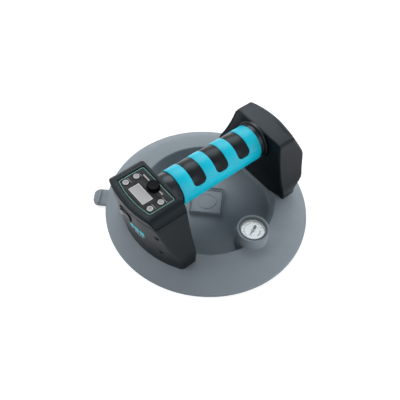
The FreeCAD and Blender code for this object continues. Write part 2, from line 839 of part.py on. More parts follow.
def board_top_z():
    return BOARD_Z + BOARD_T


def flange_top_z():
    return skin_low_z() - BUTTON_AIR


def button_places():
    return [(-x, y) for y in (BUTTON_Y, -BUTTON_Y) for x in BUTTON_X]


def overlay_outline(grow, z0, z1):
    """Panel sheet: square towards the grip, round towards the front."""
    half = OVERLAY_HALF + grow
    sheet = block(-OVERLAY_R - grow, -OVERLAY_X0 + grow, -half, half, z0, z1)
    sheet = sheet.common(disc(2 * (OVERLAY_R + grow), 0, 0, z0, z1))
    return sheet.makeFillet(OVERLAY_ROUND + grow, upright_edges(sheet))


def lcd_block(grow, z0, z1):
    return block(-LCD_X[1] - grow, -LCD_X[0] + grow, -LCD_HALF - grow, LCD_HALF + grow, z0, z1)


def panel_holes(z0, z1):
    holes = [disc(BUTTON_D + 2 * BUTTON_GAP, x, y, z0, z1) for x, y in button_places()]
    holes.append(disc(KNOB_STEM_D + 2 * BUTTON_GAP, -KNOB_X, KNOB_Y, z0, z1))
    holes.append(lcd_block(FIT, z0, z1))
    return holes


def post_places():
    return [(-x, sign * y) for x, y in POST_PLACES for sign in (-1, 1)]


def head_cap():
    cap = cap_body(0)
    room = cap_body(WALL).common(block(-CUP_R, -HEAD_FACE_X - PLATE_T, -CUP_R, CUP_R,
                                       HEAD_CREASE_Z - 1, skin_low_z()))
    recess = overlay_outline(FIT, overlay_top_z() - OVERLAY_T, HEAD_TOP_Z + 1)
    posts = [disc(POST_D, x, y, board_top_z(), skin_low_z() + 1) for x, y in post_places()]
    threads = [disc(BOARD_SCREW_D, x, y, BOARD_Z, board_top_z() + BOARD_SCREW_BITE)
               for x, y in post_places()]
    tube_way = along_x(2 * sleeve_inner_r(), -1, 0, HEAD_FACE_X + PLATE_T + 1, 0, GRIP_Z)
    cuts = [recess, tube_way, top_rim(-1, HEAD_FACE_X, HEAD_TOP_Z)]
    cuts += panel_holes(HEAD_CREASE_Z, HEAD_TOP_Z + 1) + threads
    return one_solid(cap.cut(room).fuse(posts).cut(cuts))


def panel_overlay():
    low = overlay_top_z() - OVERLAY_T
    sheet = overlay_outline(0, low, overlay_top_z())
    return one_solid(sheet.cut(panel_holes(low - 1, overlay_top_z() + 1)))


def lcd_window():
    return lcd_block(0, overlay_top_z() - LCD_T, overlay_top_z())


def lcd_module():
    top = overlay_top_z() - LCD_T
    tray = lcd_block(LCD_FRAME, board_top_z(), skin_low_z() - FIT)
    return tray.fuse(lcd_block(-FIT, board_top_z(), top)).removeSplitter()


def control_board():
    board = block(-BOARD_X[1], -BOARD_X[0], -BOARD_HALF, BOARD_HALF, BOARD_Z, board_top_z())
    board = board.makeFillet(BOARD_ROUND, upright_edges(board))
    holes = [disc(BOARD_SCREW_D + 2 * SCREW_FIT, x, y, BOARD_Z - 1, board_top_z() + 1)
             for x, y in post_places()]
    return board.cut(holes)


def board_screws():
    screws = []
    for x, y in post_places():
        head = disc(BOARD_HEAD_D, x, y, BOARD_Z - BOARD_HEAD_H, BOARD_Z)
        shank = disc(BOARD_SCREW_D, x, y, BOARD_Z - BOARD_HEAD_H / 2,
                     board_top_z() + BOARD_SCREW_BITE)
        screws.append(one_solid(head.fuse(shank)))
    return screws


def key_switches():
    top = flange_top_z() - BUTTON_FLANGE_T - BUTTON_TRAVEL - BUTTON_AIR
    half = SWITCH_SIDE / 2
    switches = []
    for x, y in button_places():
        case = block(x - half, x + half, y - half, y + half, board_top_z(), top - 0.3)
        switches.append(one_solid(case.fuse(disc(SWITCH_SIDE / 2, x, y, board_top_z(), top))))
    return switches


def button(x, y):
    top = overlay_top_z() + BUTTON_PROUD
    low = flange_top_z() - BUTTON_FLANGE_T
    stalk = disc(BUTTON_D, x, y, low, top)
    crown = [edge for edge in stalk.Edges if edge.BoundBox.ZMin > top - 0.01]
    stalk = stalk.makeFillet(BUTTON_ROUND, crown)
    return one_solid(stalk.fuse(disc(BUTTON_FLANGE_D, x, y, low, flange_top_z())))


def potentiometer():
    half = POT_SIDE / 2
    body = block(-KNOB_X - half, -KNOB_X + half, KNOB_Y - half, KNOB_Y + half,
                 board_top_z(), board_top_z() + POT_H)
    return body.cut(disc(KNOB_STEM_D + 2 * RUN_FIT, -KNOB_X, KNOB_Y,
                         board_top_z() + BUTTON_AIR, board_top_z() + POT_H + 1))


def set_knob():
    low = overlay_top_z() + KNOB_LIFT
    knob = Part.makeCone(KNOB_D / 2, KNOB_TOP_D / 2, KNOB_H, Vector(-KNOB_X, KNOB_Y, low))
    crown = [edge for edge in knob.Edges if edge.BoundBox.ZMin > low + KNOB_H - 0.01]
    knob = knob.makeFillet(KNOB_ROUND, crown)
    stem = disc(KNOB_STEM_D, -KNOB_X, KNOB_Y, board_top_z() + 2 * BUTTON_AIR, low + KNOB_H / 2)
    return one_solid(knob.fuse(stem))


# ---------------------------------------------------------------- rocker switch

def on_face(shape):
    """Carries a shape drawn outward along +X about the origin to the rocker's seat."""
    radius = head_radius(ROCKER_Z)
    turn = math.asin(ROCKER_Y / radius)
    lean = math.atan2(HEAD_TOP_R - HEAD_FOOT_R, HEAD_TOP_Z - PLATE_EDGE_Z)
    spin = FreeCAD.Rotation(UP, 180 - math.degrees(turn))
    tilt = FreeCAD.Rotation(Vector(0, 1, 0), math.degrees(lean))
    origin = Vector(-radius * math.cos(turn), ROCKER_Y, ROCKER_Z)
    moved = shape.copy()
    moved.Placement = FreeCAD.Placement(origin, spin.multiply(tilt)).multiply(moved.Placement)
    return moved


def rocker_hole(grow, x0, x1):
    half_l = ROCKER_L / 2 + ROCKER_END_GAP + grow
    half_w = ROCKER_W / 2 + ROCKER_SIDE_GAP + grow
    return block(x0, x1, -half_l, half_l, -half_w, half_w)


def rocker_frame():
    bezel = block(0, ROCKER_BEZEL_T, -ROCKER_BEZEL_L / 2, ROCKER_BEZEL_L / 2,
                  -ROCKER_BEZEL_W / 2, ROCKER_BEZEL_W / 2)
    corners = [edge for edge in bezel.Edges
               if edge.BoundBox.YLength < 1e-4 and edge.BoundBox.ZLength < 1e-4]
    bezel = bezel.makeFillet(ROCKER_SEAT, corners)
    body = rocker_hole(ROCKER_SEAT, -ROCKER_BODY_DEPTH, 0)
    reach = ROCKER_W / 2 + ROCKER_SIDE_GAP + ROCKER_PIN_L + RUN_FIT
    bore = rod(ROCKER_PIN_D + 2 * RUN_FIT, Vector(-ROCKER_PIVOT_IN, 0, -reach),
               Vector(-ROCKER_PIVOT_IN, 0, reach))
    frame = bezel.fuse(body).cut([rocker_hole(0, -ROCKER_ROOM, 5), bore])
    return on_face(one_solid(frame))


def rocker():
    half = ROCKER_L / 2
    profile = closed_face(lambda x, y: Vector(x, y, -ROCKER_W / 2), (-ROCKER_DEEP, -half), [
        (ROCKER_PROUD, -half), ((ROCKER_DIP, 0), (ROCKER_PROUD, half)),
        (-ROCKER_DEEP, half)])
    body = profile.extrude(Vector(0, 0, ROCKER_W))
    reach = ROCKER_W / 2 + ROCKER_SIDE_GAP + ROCKER_PIN_L
    pin = rod(ROCKER_PIN_D, Vector(-ROCKER_PIVOT_IN, 0, -reach),
              Vector(-ROCKER_PIVOT_IN, 0, reach))
    lever = one_solid(body.fuse(pin))
    lever.rotate(Vector(-ROCKER_PIVOT_IN, 0, 0), UP, ROCKER_ANGLE)
    return on_face(lever)


# ---------------------------------------------------------------- handle

def sleeve_inner_r():
    return GRIP_R - SLEEVE_T


def tube_r():
    return sleeve_inner_r() - TUBE_FIT


def grip_tube(r0, r1, x0, x1):
    return tube(2 * r1, 2 * r0, Vector(x0, 0, GRIP_Z), Vector(x1, 0, GRIP_Z))


def slot_band(mid_x, shrink, r0, r1):
    """Arc-shaped block over the top of the grip, with rounded ends."""
    half_w = SLOT_W / 2 - shrink
    spread = SLOT_HALF_ANGLE - math.degrees(shrink / GRIP_R)
    face = Part.Face(Part.makePolygon([
        Vector(mid_x - half_w, 0, r0), Vector(mid_x + half_w, 0, r0),
        Vector(mid_x + half_w, 0, r1), Vector(mid_x - half_w, 0, r1),
        Vector(mid_x - half_w, 0, r0)]))
    face.rotate(Vector(), Vector(1, 0, 0), -spread)
    band = face.revolve(Vector(), Vector(1, 0, 0), 2 * spread)
    corners = [edge for edge in band.Edges if edge.BoundBox.XLength < 1e-4
               and isinstance(edge.Curve, Part.Line)]
    band = band.makeFillet(SLOT_ROUND - shrink, corners)
    band.translate(Vector(0, 0, GRIP_Z))
    return band


def slot_mids():
    middle = (SLOT_COUNT - 1) / 2
    return [SLOT_MID_X + SLOT_PITCH * (index - middle) for index in range(SLOT_COUNT)]


def grip_sleeve():
    sleeve = grip_tube(sleeve_inner_r(), GRIP_R, SLEEVE_X0, SLEEVE_X1)
    slots = [slot_band(mid, 0, sleeve_inner_r() - 1, GRIP_R + 1) for mid in slot_mids()]
    return one_solid(sleeve.cut(slots))


def grip_pads():
    return [slot_band(mid, FIT, sleeve_inner_r(), GRIP_R - PAD_SINK) for mid in slot_mids()]


def handle_tube():
    stand = PLATE_T + TUBE_STAND
    return grip_tube(tube_r() - TUBE_WALL, tube_r(), -HEAD_FACE_X - stand, LEG_FACE_X + stand)


def near_collar():
    return grip_tube(sleeve_inner_r(), COLLAR_R, -HEAD_FACE_X, SLEEVE_X0)


def far_collar():
    step = LEG_FACE_X - FLANGE_T
    collar = grip_tube(sleeve_inner_r(), COLLAR_R, SLEEVE_X1, LEG_FACE_X)
    flange = grip_tube(sleeve_inner_r(), FLANGE_R, step, LEG_FACE_X)
    rim = [edge for edge in flange.Edges
           if edge.BoundBox.YLength > 2 * FLANGE_R - 0.1 and edge.BoundBox.XMax < step + 0.1]
    return one_solid(collar.fuse(flange.makeFillet(1.0, rim)))


def tube_rings():
    """Rings behind the inner plates that keep the tube from drawing out, flat on top."""
    rings = []
    for side, face_x, roof_z in ((-1, HEAD_FACE_X, skin_low_z()),
                                 (1, LEG_FACE_X, LEG_TOP_Z - WALL)):
        x0, x1 = sorted((side * (face_x + PLATE_T), side * (face_x + PLATE_T + RING_T)))
        ring = grip_tube(sleeve_inner_r(), RING_R, x0, x1)
        rings.append(ring.common(block(x0, x1, -RING_R, RING_R, 0, roof_z - FIT)))
    return rings


# ---------------------------------------------------------------- pump

def pump_axis(y):
    return Vector(-PUMP_X, y, PUMP_Z)


def motor_end_y():
    return PUMP_Y0 + MOTOR_L


def pump_end_y():
    return motor_end_y() + PUMP_HEAD_L


def pump_motor():
    can = rod(MOTOR_D, pump_axis(PUMP_Y0), pump_axis(motor_end_y()))
    room = rod(MOTOR_D - 2 * MOTOR_SKIN, pump_axis(PUMP_Y0 + MOTOR_END_T),
               pump_axis(motor_end_y() - MOTOR_END_T))
    bore = rod(SHAFT_D + 2 * RUN_FIT, pump_axis(PUMP_Y0 - 1), pump_axis(motor_end_y() + 1))
    return can.cut([room, bore])


def pump_head():
    y0 = motor_end_y()
    groove_w = PUMP_HEAD_L / 12
    head = rod(PUMP_HEAD_D, pump_axis(y0), pump_axis(pump_end_y()))
    for part in (5, 7, 9):
        y = y0 + part * groove_w
        head = head.cut(tube(PUMP_HEAD_D + 1, PUMP_HEAD_D - 2, pump_axis(y),
                             pump_axis(y + groove_w)))
    spout = rod(HOSE_BORE_D, Vector(-PORT_X, pump_end_y() - 1, HOSE_Z),
                Vector(-PORT_X, pump_end_y() + 2 * HOSE_GRIP + 2, HOSE_Z))
    head = head.fuse(spout)
    room = rod(CRANK_ROOM_D, pump_axis(y0 - 1), pump_axis(y0 + CRANK_ROOM_L))
    return one_solid(head.cut(room))


def pump_rotor():
    """Armature, shaft and eccentric, turning in the motor and the pump head."""
    mid = PUMP_Y0 + MOTOR_L / 2
    crank_y = motor_end_y() + (CRANK_ROOM_L - CRANK_L) / 2
    armature = rod(ARMATURE_D, pump_axis(mid - ARMATURE_L / 2), pump_axis(mid + ARMATURE_L / 2))
    shaft = rod(SHAFT_D, pump_axis(PUMP_Y0 - 0.5), pump_axis(crank_y + CRANK_L))
    throw = Vector(CRANK_THROW, 0, 0)
    crank = rod(CRANK_D, pump_axis(crank_y) + throw, pump_axis(crank_y + CRANK_L) + throw)
    return one_solid(armature.fuse([shaft, crank]))


def pump_cradle():
    x_low = -PUMP_X - CRADLE_W / 2
    saddle = block(x_low, x_low + CRADLE_W, -CRADLE_HALF, CRADLE_HALF, SKIRT_Z, CRADLE_TOP_Z)
    return saddle.cut([rod(MOTOR_D, pump_axis(PUMP_Y0), pump_axis(motor_end_y())),
                       rod(PUMP_HEAD_D, pump_axis(motor_end_y()), pump_axis(pump_end_y())),
                       seat_tool()])


def swept(diameter, points, bend):
    """Round bar along straight runs joined by tangent arcs, in the plane of three points."""
    first, corner, last = points
    into = (corner - first).normalize()
    out = (last - corner).normalize()
    start = corner - into * bend
    end = corner + out * bend
    centre = start + out * bend
    middle = centre - (into * -1 + out).normalize() * -bend
    edges = [Part.LineSegment(first, start).toShape(),
             Part.Arc(start, centre + (corner - centre).normalize() * bend, end).toShape(),
             Part.LineSegment(end, last).toShape()]
    profile = Part.Wire(Part.makeCircle(diameter / 2, first, into))
    return Part.Wire(edges).makePipeShell([profile], True, False)


def vacuum_hose():
    corner = Vector(-PORT_X, PORT_Y, HOSE_Z)
    route = [Vector(-PORT_X, pump_end_y() + HOSE_GRIP, HOSE_Z), corner,
             Vector(-PORT_X, PORT_Y, port_top_z() - HOSE_BORE_D)]
    return swept(HOSE_D, route, HOSE_BEND).cut(swept(HOSE_BORE_D, route, HOSE_BEND))


# ---------------------------------------------------------------- battery pack

def battery_cells():
    cells = []
    for index in range(2):
        z = CELL_LOW_Z + CELL_PITCH * index
        cell = rod(CELL_D, Vector(CELL_X, -CELL_L / 2, z), Vector(CELL_X, CELL_L / 2, z))
        cells.append(cell.makeFillet(1.0, [edge for edge in cell.Edges
                                           if isinstance(edge.Curve, Part.Circle)]))
    return cells


def battery_holder():
    x0 = LEG_FACE_X + PLATE_T
    half = CELL_L / 2 + HOLDER_END_T
    spine = block(x0, x0 + HOLDER_SPINE_T, -half, half, HOLDER_Z[0], HOLDER_SPINE_TOP_Z)
    ends = [block(x0, HOLDER_REACH, min(y, y + HOLDER_END_T), max(y, y + HOLDER_END_T),
                  HOLDER_Z[0], HOLDER_Z[1])
            for y in (-half, CELL_L / 2)]
    return one_solid(spine.fuse(ends))


def battery_lead():
    start_x = CELL_X - CELL_D / 2 - FIT
    return swept(LEAD_D, [Vector(start_x, 0, LEAD_Z), Vector(-LEAD_UP_X, 0, LEAD_Z),
                          Vector(-LEAD_UP_X, 0, BOARD_Z)], LEAD_BEND)


# ---------------------------------------------------------------- vacuum gauge

def gauge_disc(diameter, z0, z1):
    return disc(diameter, GAUGE_X, GAUGE_Y, z0, z1)


def dial_top_z():
    return GAUGE_TOP_Z - GAUGE_DIAL_DROP


def lens_top_z():
    return GAUGE_TOP_Z - GAUGE_LENS_DROP


def lens_d():
    return GAUGE_CASE_D - 2 * GAUGE_CASE_WALL


def gauge_case():
    floor = GAUGE_FLOOR_Z + GAUGE_CASE_WALL
    case = gauge_disc(GAUGE_CASE_D, GAUGE_FLOOR_Z, lens_top_z())
    return case.cut([gauge_disc(GAUGE_DIAL_D + 2 * FIT, floor, GAUGE_TOP_Z),
                     gauge_disc(lens_d(), lens_top_z() - GAUGE_LENS_T, GAUGE_TOP_Z),
                     gauge_disc(PORT_BORE_D, GAUGE_FLOOR_Z - 1, floor + 1)])


def gauge_movement():
    top = dial_top_z() - GAUGE_DIAL_T
    body = gauge_disc(MOVEMENT_D, GAUGE_FLOOR_Z + GAUGE_CASE_WALL, top)
    return body.cut(gauge_disc(ARBOR_D + 2 * RUN_FIT, top - 4, top + 1))


def gauge_dial():
    dial = gauge_disc(GAUGE_DIAL_D, dial_top_z() - GAUGE_DIAL_T, dial_top_z())
    return dial.cut(gauge_disc(ARBOR_D + 2 * RUN_FIT, 0, GAUGE_TOP_Z))


def gauge_lens():
    return gauge_disc(lens_d(), lens_top_z() - GAUGE_LENS_T, lens_top_z())


def gauge_bezel():
    ring = gauge_disc(GAUGE_CASE_D, lens_top_z(), GAUGE_TOP_Z)
    return ring.cut(gauge_disc(GAUGE_CASE_D - 2 * GAUGE_BEZEL_W, 0, GAUGE_TOP_Z + 1))


def gauge_needle():
    z = dial_top_z() + NEEDLE_AIR
    half = NEEDLE_W / 2
    tail = NEEDLE_TAIL_W / 2
    blade = Part.Face(Part.makePolygon([
        Vector(-NEEDLE_TAIL, -tail, z), Vector(-NEEDLE_TAIL / 2, -tail, z), Vector(0, -half, z),
        Vector(NEEDLE_L, 0, z), Vector(0, half, z), Vector(-NEEDLE_TAIL / 2, tail, z),
        Vector(-NEEDLE_TAIL, tail, z), Vector(-NEEDLE_TAIL, -tail, z)]))
    blade = blade.extrude(Vector(0, 0, NEEDLE_T))
    blade.rotate(Vector(), UP, NEEDLE_ANGLE)
    blade.translate(Vector(GAUGE_X, GAUGE_Y, 0))
    hub = gauge_disc(NEEDLE_HUB_D, z, z + 2 * NEEDLE_T)
    arbor = gauge_disc(ARBOR_D, dial_top_z() - 4, z + NEEDLE_T)
    return one_solid(blade.fuse([hub, arbor]))


# ---------------------------------------------------------------- the whole lifter

def sub_parts():
    """Every sub-part by name; a list is a group of like pieces."""
    parts = {
        "suction_cup": suction_cup(),
        "base_plate": base_plate(),
        "clamp_ring": clamp_ring(),
        "clamp_screws": clamp_screws(),
        "inlet_filter": inlet_filter(),
        "head_housing": head_housing(),
        "head_inner_plate": head_inner_plate(),
        "head_cap": head_cap(),
        "panel_overlay": panel_overlay(),
        "lcd_window": lcd_window(),
        "lcd_module": lcd_module(),
        "control_board": control_board(),
        "board_screws": board_screws(),
        "key_switches": key_switches(),
        "potentiometer": potentiometer(),
        "set_knob": set_knob(),
        "rocker_frame": rocker_frame(),
        "rocker": rocker(),
        "pump_motor": pump_motor(),
        "pump_head": pump_head(),
        "pump_rotor": pump_rotor(),
        "pump_cradle": pump_cradle(),
        "vacuum_hose": vacuum_hose(),
        "handle_tube": handle_tube(),
        "grip_sleeve": grip_sleeve(),
        "grip_pads": grip_pads(),
        "near_collar": near_collar(),
        "far_collar": far_collar(),
        "tube_rings": tube_rings(),
        "leg_housing": leg_housing(),
        "leg_inner_plate": leg_inner_plate(),
        "battery_cells": battery_cells(),
        "battery_holder": battery_holder(),
        "battery_lead": battery_lead(),
        "case_screws": case_screws(),
        "lug_screws": lug_screws(),
        "gauge_case": gauge_case(),
        "gauge_movement": gauge_movement(),
        "gauge_dial": gauge_dial(),
        "gauge_needle": gauge_needle(),
        "gauge_lens": gauge_lens(),
        "gauge_bezel": gauge_bezel(),
    }
    for index, (x, y) in enumerate(button_places(), 1):
        parts["button_%d" % index] = button(x, y)
    return parts


def main():
    os.makedirs("parts", exist_ok=True)
    for name, shape in sub_parts().items():
        if isinstance(shape, list):
            shape = Part.makeCompound(shape)
        shape.exportStep("parts/%s.step" % name)


if __name__ == "__main__":
    main()
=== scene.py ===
import json
import math

import bpy
from mathutils import Matrix, Vector


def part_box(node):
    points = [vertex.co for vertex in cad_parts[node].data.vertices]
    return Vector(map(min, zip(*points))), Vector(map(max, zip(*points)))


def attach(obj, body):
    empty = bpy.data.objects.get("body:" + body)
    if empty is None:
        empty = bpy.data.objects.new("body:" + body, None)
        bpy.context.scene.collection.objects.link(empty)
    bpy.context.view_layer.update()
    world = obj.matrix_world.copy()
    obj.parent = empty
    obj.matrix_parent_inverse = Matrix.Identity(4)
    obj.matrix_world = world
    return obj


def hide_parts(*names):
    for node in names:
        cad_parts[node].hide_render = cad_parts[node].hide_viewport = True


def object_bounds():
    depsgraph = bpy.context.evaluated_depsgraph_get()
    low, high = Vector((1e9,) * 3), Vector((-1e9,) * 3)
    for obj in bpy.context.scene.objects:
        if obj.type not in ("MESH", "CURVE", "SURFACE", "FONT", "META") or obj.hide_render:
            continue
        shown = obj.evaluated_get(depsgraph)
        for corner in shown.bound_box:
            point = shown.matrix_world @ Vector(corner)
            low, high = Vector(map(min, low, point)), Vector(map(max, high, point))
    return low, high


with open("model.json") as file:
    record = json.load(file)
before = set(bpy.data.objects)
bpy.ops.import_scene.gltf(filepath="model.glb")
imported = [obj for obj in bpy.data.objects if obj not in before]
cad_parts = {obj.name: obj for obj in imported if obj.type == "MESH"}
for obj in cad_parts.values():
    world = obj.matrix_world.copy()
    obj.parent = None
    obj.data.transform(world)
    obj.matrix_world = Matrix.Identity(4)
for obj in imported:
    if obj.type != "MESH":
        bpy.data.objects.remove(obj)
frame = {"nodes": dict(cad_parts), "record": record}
cad_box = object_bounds()

MM = 0.001
UP = Vector((0, 0, 1))


# ------------------------------------------------------------ camera, light and floor

def make_camera():
    """A short tele lens that looks down past the near corner of the control head."""
    azimuth, elevation, roll = (math.radians(a) for a in (-42.52, 53.27, 4.03))
    distance = 603.64 * MM
    target = Vector((0.72, 11.21, 0)) * MM
    turn = (Matrix.Rotation(azimuth, 4, "Z") @ Matrix.Rotation(math.pi / 2 - elevation, 4, "X")
            @ Matrix.Rotation(roll, 4, "Z"))
    data = bpy.data.cameras.new("camera")
    data.lens = 52.07
    data.sensor_width = 36
    data.clip_start = 10 * MM
    camera = bpy.data.objects.new("camera", data)
    bpy.context.scene.collection.objects.link(camera)
    eye = target + turn.to_3x3() @ Vector((0, 0, distance))
    camera.matrix_world = Matrix.Translation(eye) @ turn
    bpy.context.scene.camera = camera


def linear(hex_colour):
    """sRGB hex, such as "1FC6DC", to the linear colour that sockets take."""
    parts = [int(hex_colour[i:i + 2], 16) / 255 for i in (0, 2, 4)]
    return tuple(c / 12.92 if c <= 0.04045 else ((c + 0.055) / 1.055) ** 2.4 for c in parts) + (1,)


def add_node(tree, kind, place=(0, 0), links=(), **values):
    """Adds a node; values go to its settings or sockets, links are (output, socket name)."""
    node = tree.nodes.new(kind)
    node.location = place
    for name, value in values.items():
        if name in node.bl_rna.properties:
            setattr(node, name, value)
        elif name.startswith("in_"):
            node.inputs[int(name[3:])].default_value = value
        else:
            node.inputs[name.replace("_", " ")].default_value = value
    for source, socket in links:
        tree.links.new(source, node.inputs[socket])
    return node


# Each pale wall is brightest at the table and dark by 30 degrees up: (azimuth, brightness).
WALLS = ((320, 7.4), (20, 4.8), (200, 1.5), (110, 1.8))
# How fast a wall darkens to its sides, and upwards.
WALL_EDGE, WALL_DROP = 1.5, 2.0
# Soft boxes, in metres: (azimuth, elevation, watts).
SOFT_BOXES = ((50, 50, 8.0), (135, 35, 7.2), (270, 35, 4.2), (90, 60, 1.8))
BOX_AWAY, BOX_SIZE = 1.1, 0.8
LIT_POINT = Vector((0, 0, 30)) * MM


def soft_box(azimuth, elevation, power):
    """A square lamp turned to the lifter, with a width that keeps its shadow soft."""
    data = bpy.data.lights.new("soft_box_%d" % azimuth, "AREA")
    data.size = BOX_SIZE
    data.color = linear("F6FAFF")[:3]
    data.energy = power
    lamp = bpy.data.objects.new(data.name, data)
    bpy.context.scene.collection.objects.link(lamp)
    turn = (Matrix.Rotation(math.radians(azimuth), 4, "Z")
            @ Matrix.Rotation(math.radians(-elevation), 4, "Y"))
    lamp.location = turn @ Vector((BOX_AWAY, 0, 0))
    lamp.rotation_euler = (LIT_POINT - lamp.location).to_track_quat("-Z", "Y").to_euler()


def seen_rays(tree):
    """1 for the rays that show the backdrop: straight, through glass or off a gloss."""
    rays = add_node(tree, "ShaderNodeLightPath")
    seen = add_node(tree, "ShaderNodeMath", operation="MAXIMUM",
                    links=[(rays.outputs["Is Camera Ray"], 0),
                           (rays.outputs["Is Transmission Ray"], 1)])
    return add_node(tree, "ShaderNodeMath", operation="MAXIMUM",
                    links=[(seen.outputs[0], 0), (rays.outputs["Is Glossy Ray"], 1)]).outputs[0]


def make_light():
    """The soft boxes, and a pale room whose walls glow low down and give the gloss its edges."""
    for azimuth, elevation, power in SOFT_BOXES:
        soft_box(azimuth, elevation, power)
    world = bpy.data.worlds.new("pale_room")
    world.use_nodes = True
    tree = world.node_tree
    tree.nodes.clear()
    way = add_node(tree, "ShaderNodeTexCoord").outputs["Object"]
    split = add_node(tree, "ShaderNodeSeparateXYZ", links=[(way, 0)])
    low = add_node(tree, "ShaderNodeMath", operation="MULTIPLY_ADD", use_clamp=True,
                   in_1=-WALL_DROP, in_2=1.0, links=[(split.outputs["Z"], 0)])
    level = None
    for azimuth, brightness in WALLS:
        angle = math.radians(azimuth)
        towards = add_node(tree, "ShaderNodeVectorMath", operation="DOT_PRODUCT",
                           in_1=(math.cos(angle), math.sin(angle), 0), links=[(way, 0)])
        lobe = add_node(tree, "ShaderNodeMath", operation="MAXIMUM", in_1=0.0,
                        links=[(towards.outputs["Value"], 0)])
        lobe = add_node(tree, "ShaderNodeMath", operation="POWER", in_1=WALL_EDGE,
                        links=[(lobe.outputs[0], 0)])
        total = add_node(tree, "ShaderNodeMath", operation="MULTIPLY_ADD", in_1=brightness,
                         in_2=0.0, links=[(lobe.outputs[0], 0)])
        if level:
            tree.links.new(level.outputs[0], total.inputs[2])
        level = total
    glow = add_node(tree, "ShaderNodeMath", operation="MULTIPLY",
                    links=[(level.outputs[0], 0), (low.outputs[0], 1)])
    seen = seen_rays(tree)
    room = add_node(tree, "ShaderNodeBackground", Color=linear("F3F8FF"),
                    links=[(glow.outputs[0], "Strength")])
    white = add_node(tree, "ShaderNodeBackground", Color=(1, 1, 1, 1), Strength=1.0)
    mix = add_node(tree, "ShaderNodeMixShader", links=[
        (seen, 0), (room.outputs[0], 1), (white.outputs[0], 2)])
    add_node(tree, "ShaderNodeOutputWorld", links=[(mix.outputs[0], "Surface")])
    bpy.context.scene.world = world


# The card starts to fade into the white room where the lamps' light ends, in metres.
FLOOR_SIZE, FADE_FROM, FADE_TO = 6, 0.35, 1.1
# How much of the card's white is its own light, and how much of the lamps' it gives back.
FLOOR_GLOW, FLOOR_SHADE = 0.72, 0.45


def make_floor():
    """Matt pale card, near white to the eye, that still shows the lifter's soft shadow."""
    bpy.ops.mesh.primitive_plane_add(size=FLOOR_SIZE, location=(0, 0, cad_box[0].z))
    floor = bpy.context.object
    floor.name = "floor"
    material = bpy.data.materials.new("pale_floor_card")
    material.use_nodes = True
    tree = material.node_tree
    tree.nodes.clear()
    card = add_node(tree, "ShaderNodeBsdfDiffuse", Color=linear("F4F4F4"))
    dim = add_node(tree, "ShaderNodeBsdfDiffuse", Color=(FLOOR_SHADE,) * 3 + (1,))
    glow = add_node(tree, "ShaderNodeEmission", Color=(1, 1, 1, 1), Strength=FLOOR_GLOW)
    near = add_node(tree, "ShaderNodeAddShader", links=[(dim.outputs[0], 0), (glow.outputs[0], 1)])
    far = add_node(tree, "ShaderNodeEmission", Color=(1, 1, 1, 1), Strength=1.0)
    way = add_node(tree, "ShaderNodeVectorMath", operation="LENGTH", links=[
        (add_node(tree, "ShaderNodeTexCoord").outputs["Object"], 0)])
    fade = add_node(tree, "ShaderNodeMapRange", interpolation_type="SMOOTHSTEP",
                    From_Min=FADE_FROM, From_Max=FADE_TO, links=[(way.outputs["Value"], "Value")])
    both = add_node(tree, "ShaderNodeMixShader", links=[
        (fade.outputs["Result"], 0), (near.outputs[0], 1), (far.outputs[0], 2)])
    mix = add_node(tree, "ShaderNodeMixShader", links=[
        (seen_rays(tree), 0), (card.outputs[0], 1), (both.outputs[0], 2)])
    add_node(tree, "ShaderNodeOutputMaterial", links=[(mix.outputs[0], "Surface")])
    floor.data.materials.append(material)


make_camera()
bpy.context.scene.view_settings.view_transform = "Standard"
make_light()
make_floor()


# ------------------------------------------------------------ finishes

def grain_vector(tree, coords, stretch, centre):
    """Object coordinates as they are, drawn out along an axis, or wound round an upright axis."""
    if centre:
        middle = add_node(tree, "ShaderNodeMapping", (-1100, -300), links=[(coords, "Vector")],
                          Location=tuple(-c * MM for c in centre), Scale=(1, 1, 0))
        away = add_node(tree, "ShaderNodeVectorMath", (-900, -300), operation="LENGTH",
                        links=[(middle.outputs[0], 0)])
        return add_node(tree, "ShaderNodeCombineXYZ", (-750, -300),
                        links=[(away.outputs["Value"], "X")]).outputs[0]
    if stretch:
        return add_node(tree, "ShaderNodeMapping", (-900, -300), Scale=stretch,
                        links=[(coords, "Vector")]).outputs[0]
    return coords


# The drift in tone is as wide as a thumb print.
DRIFT_MM = 22


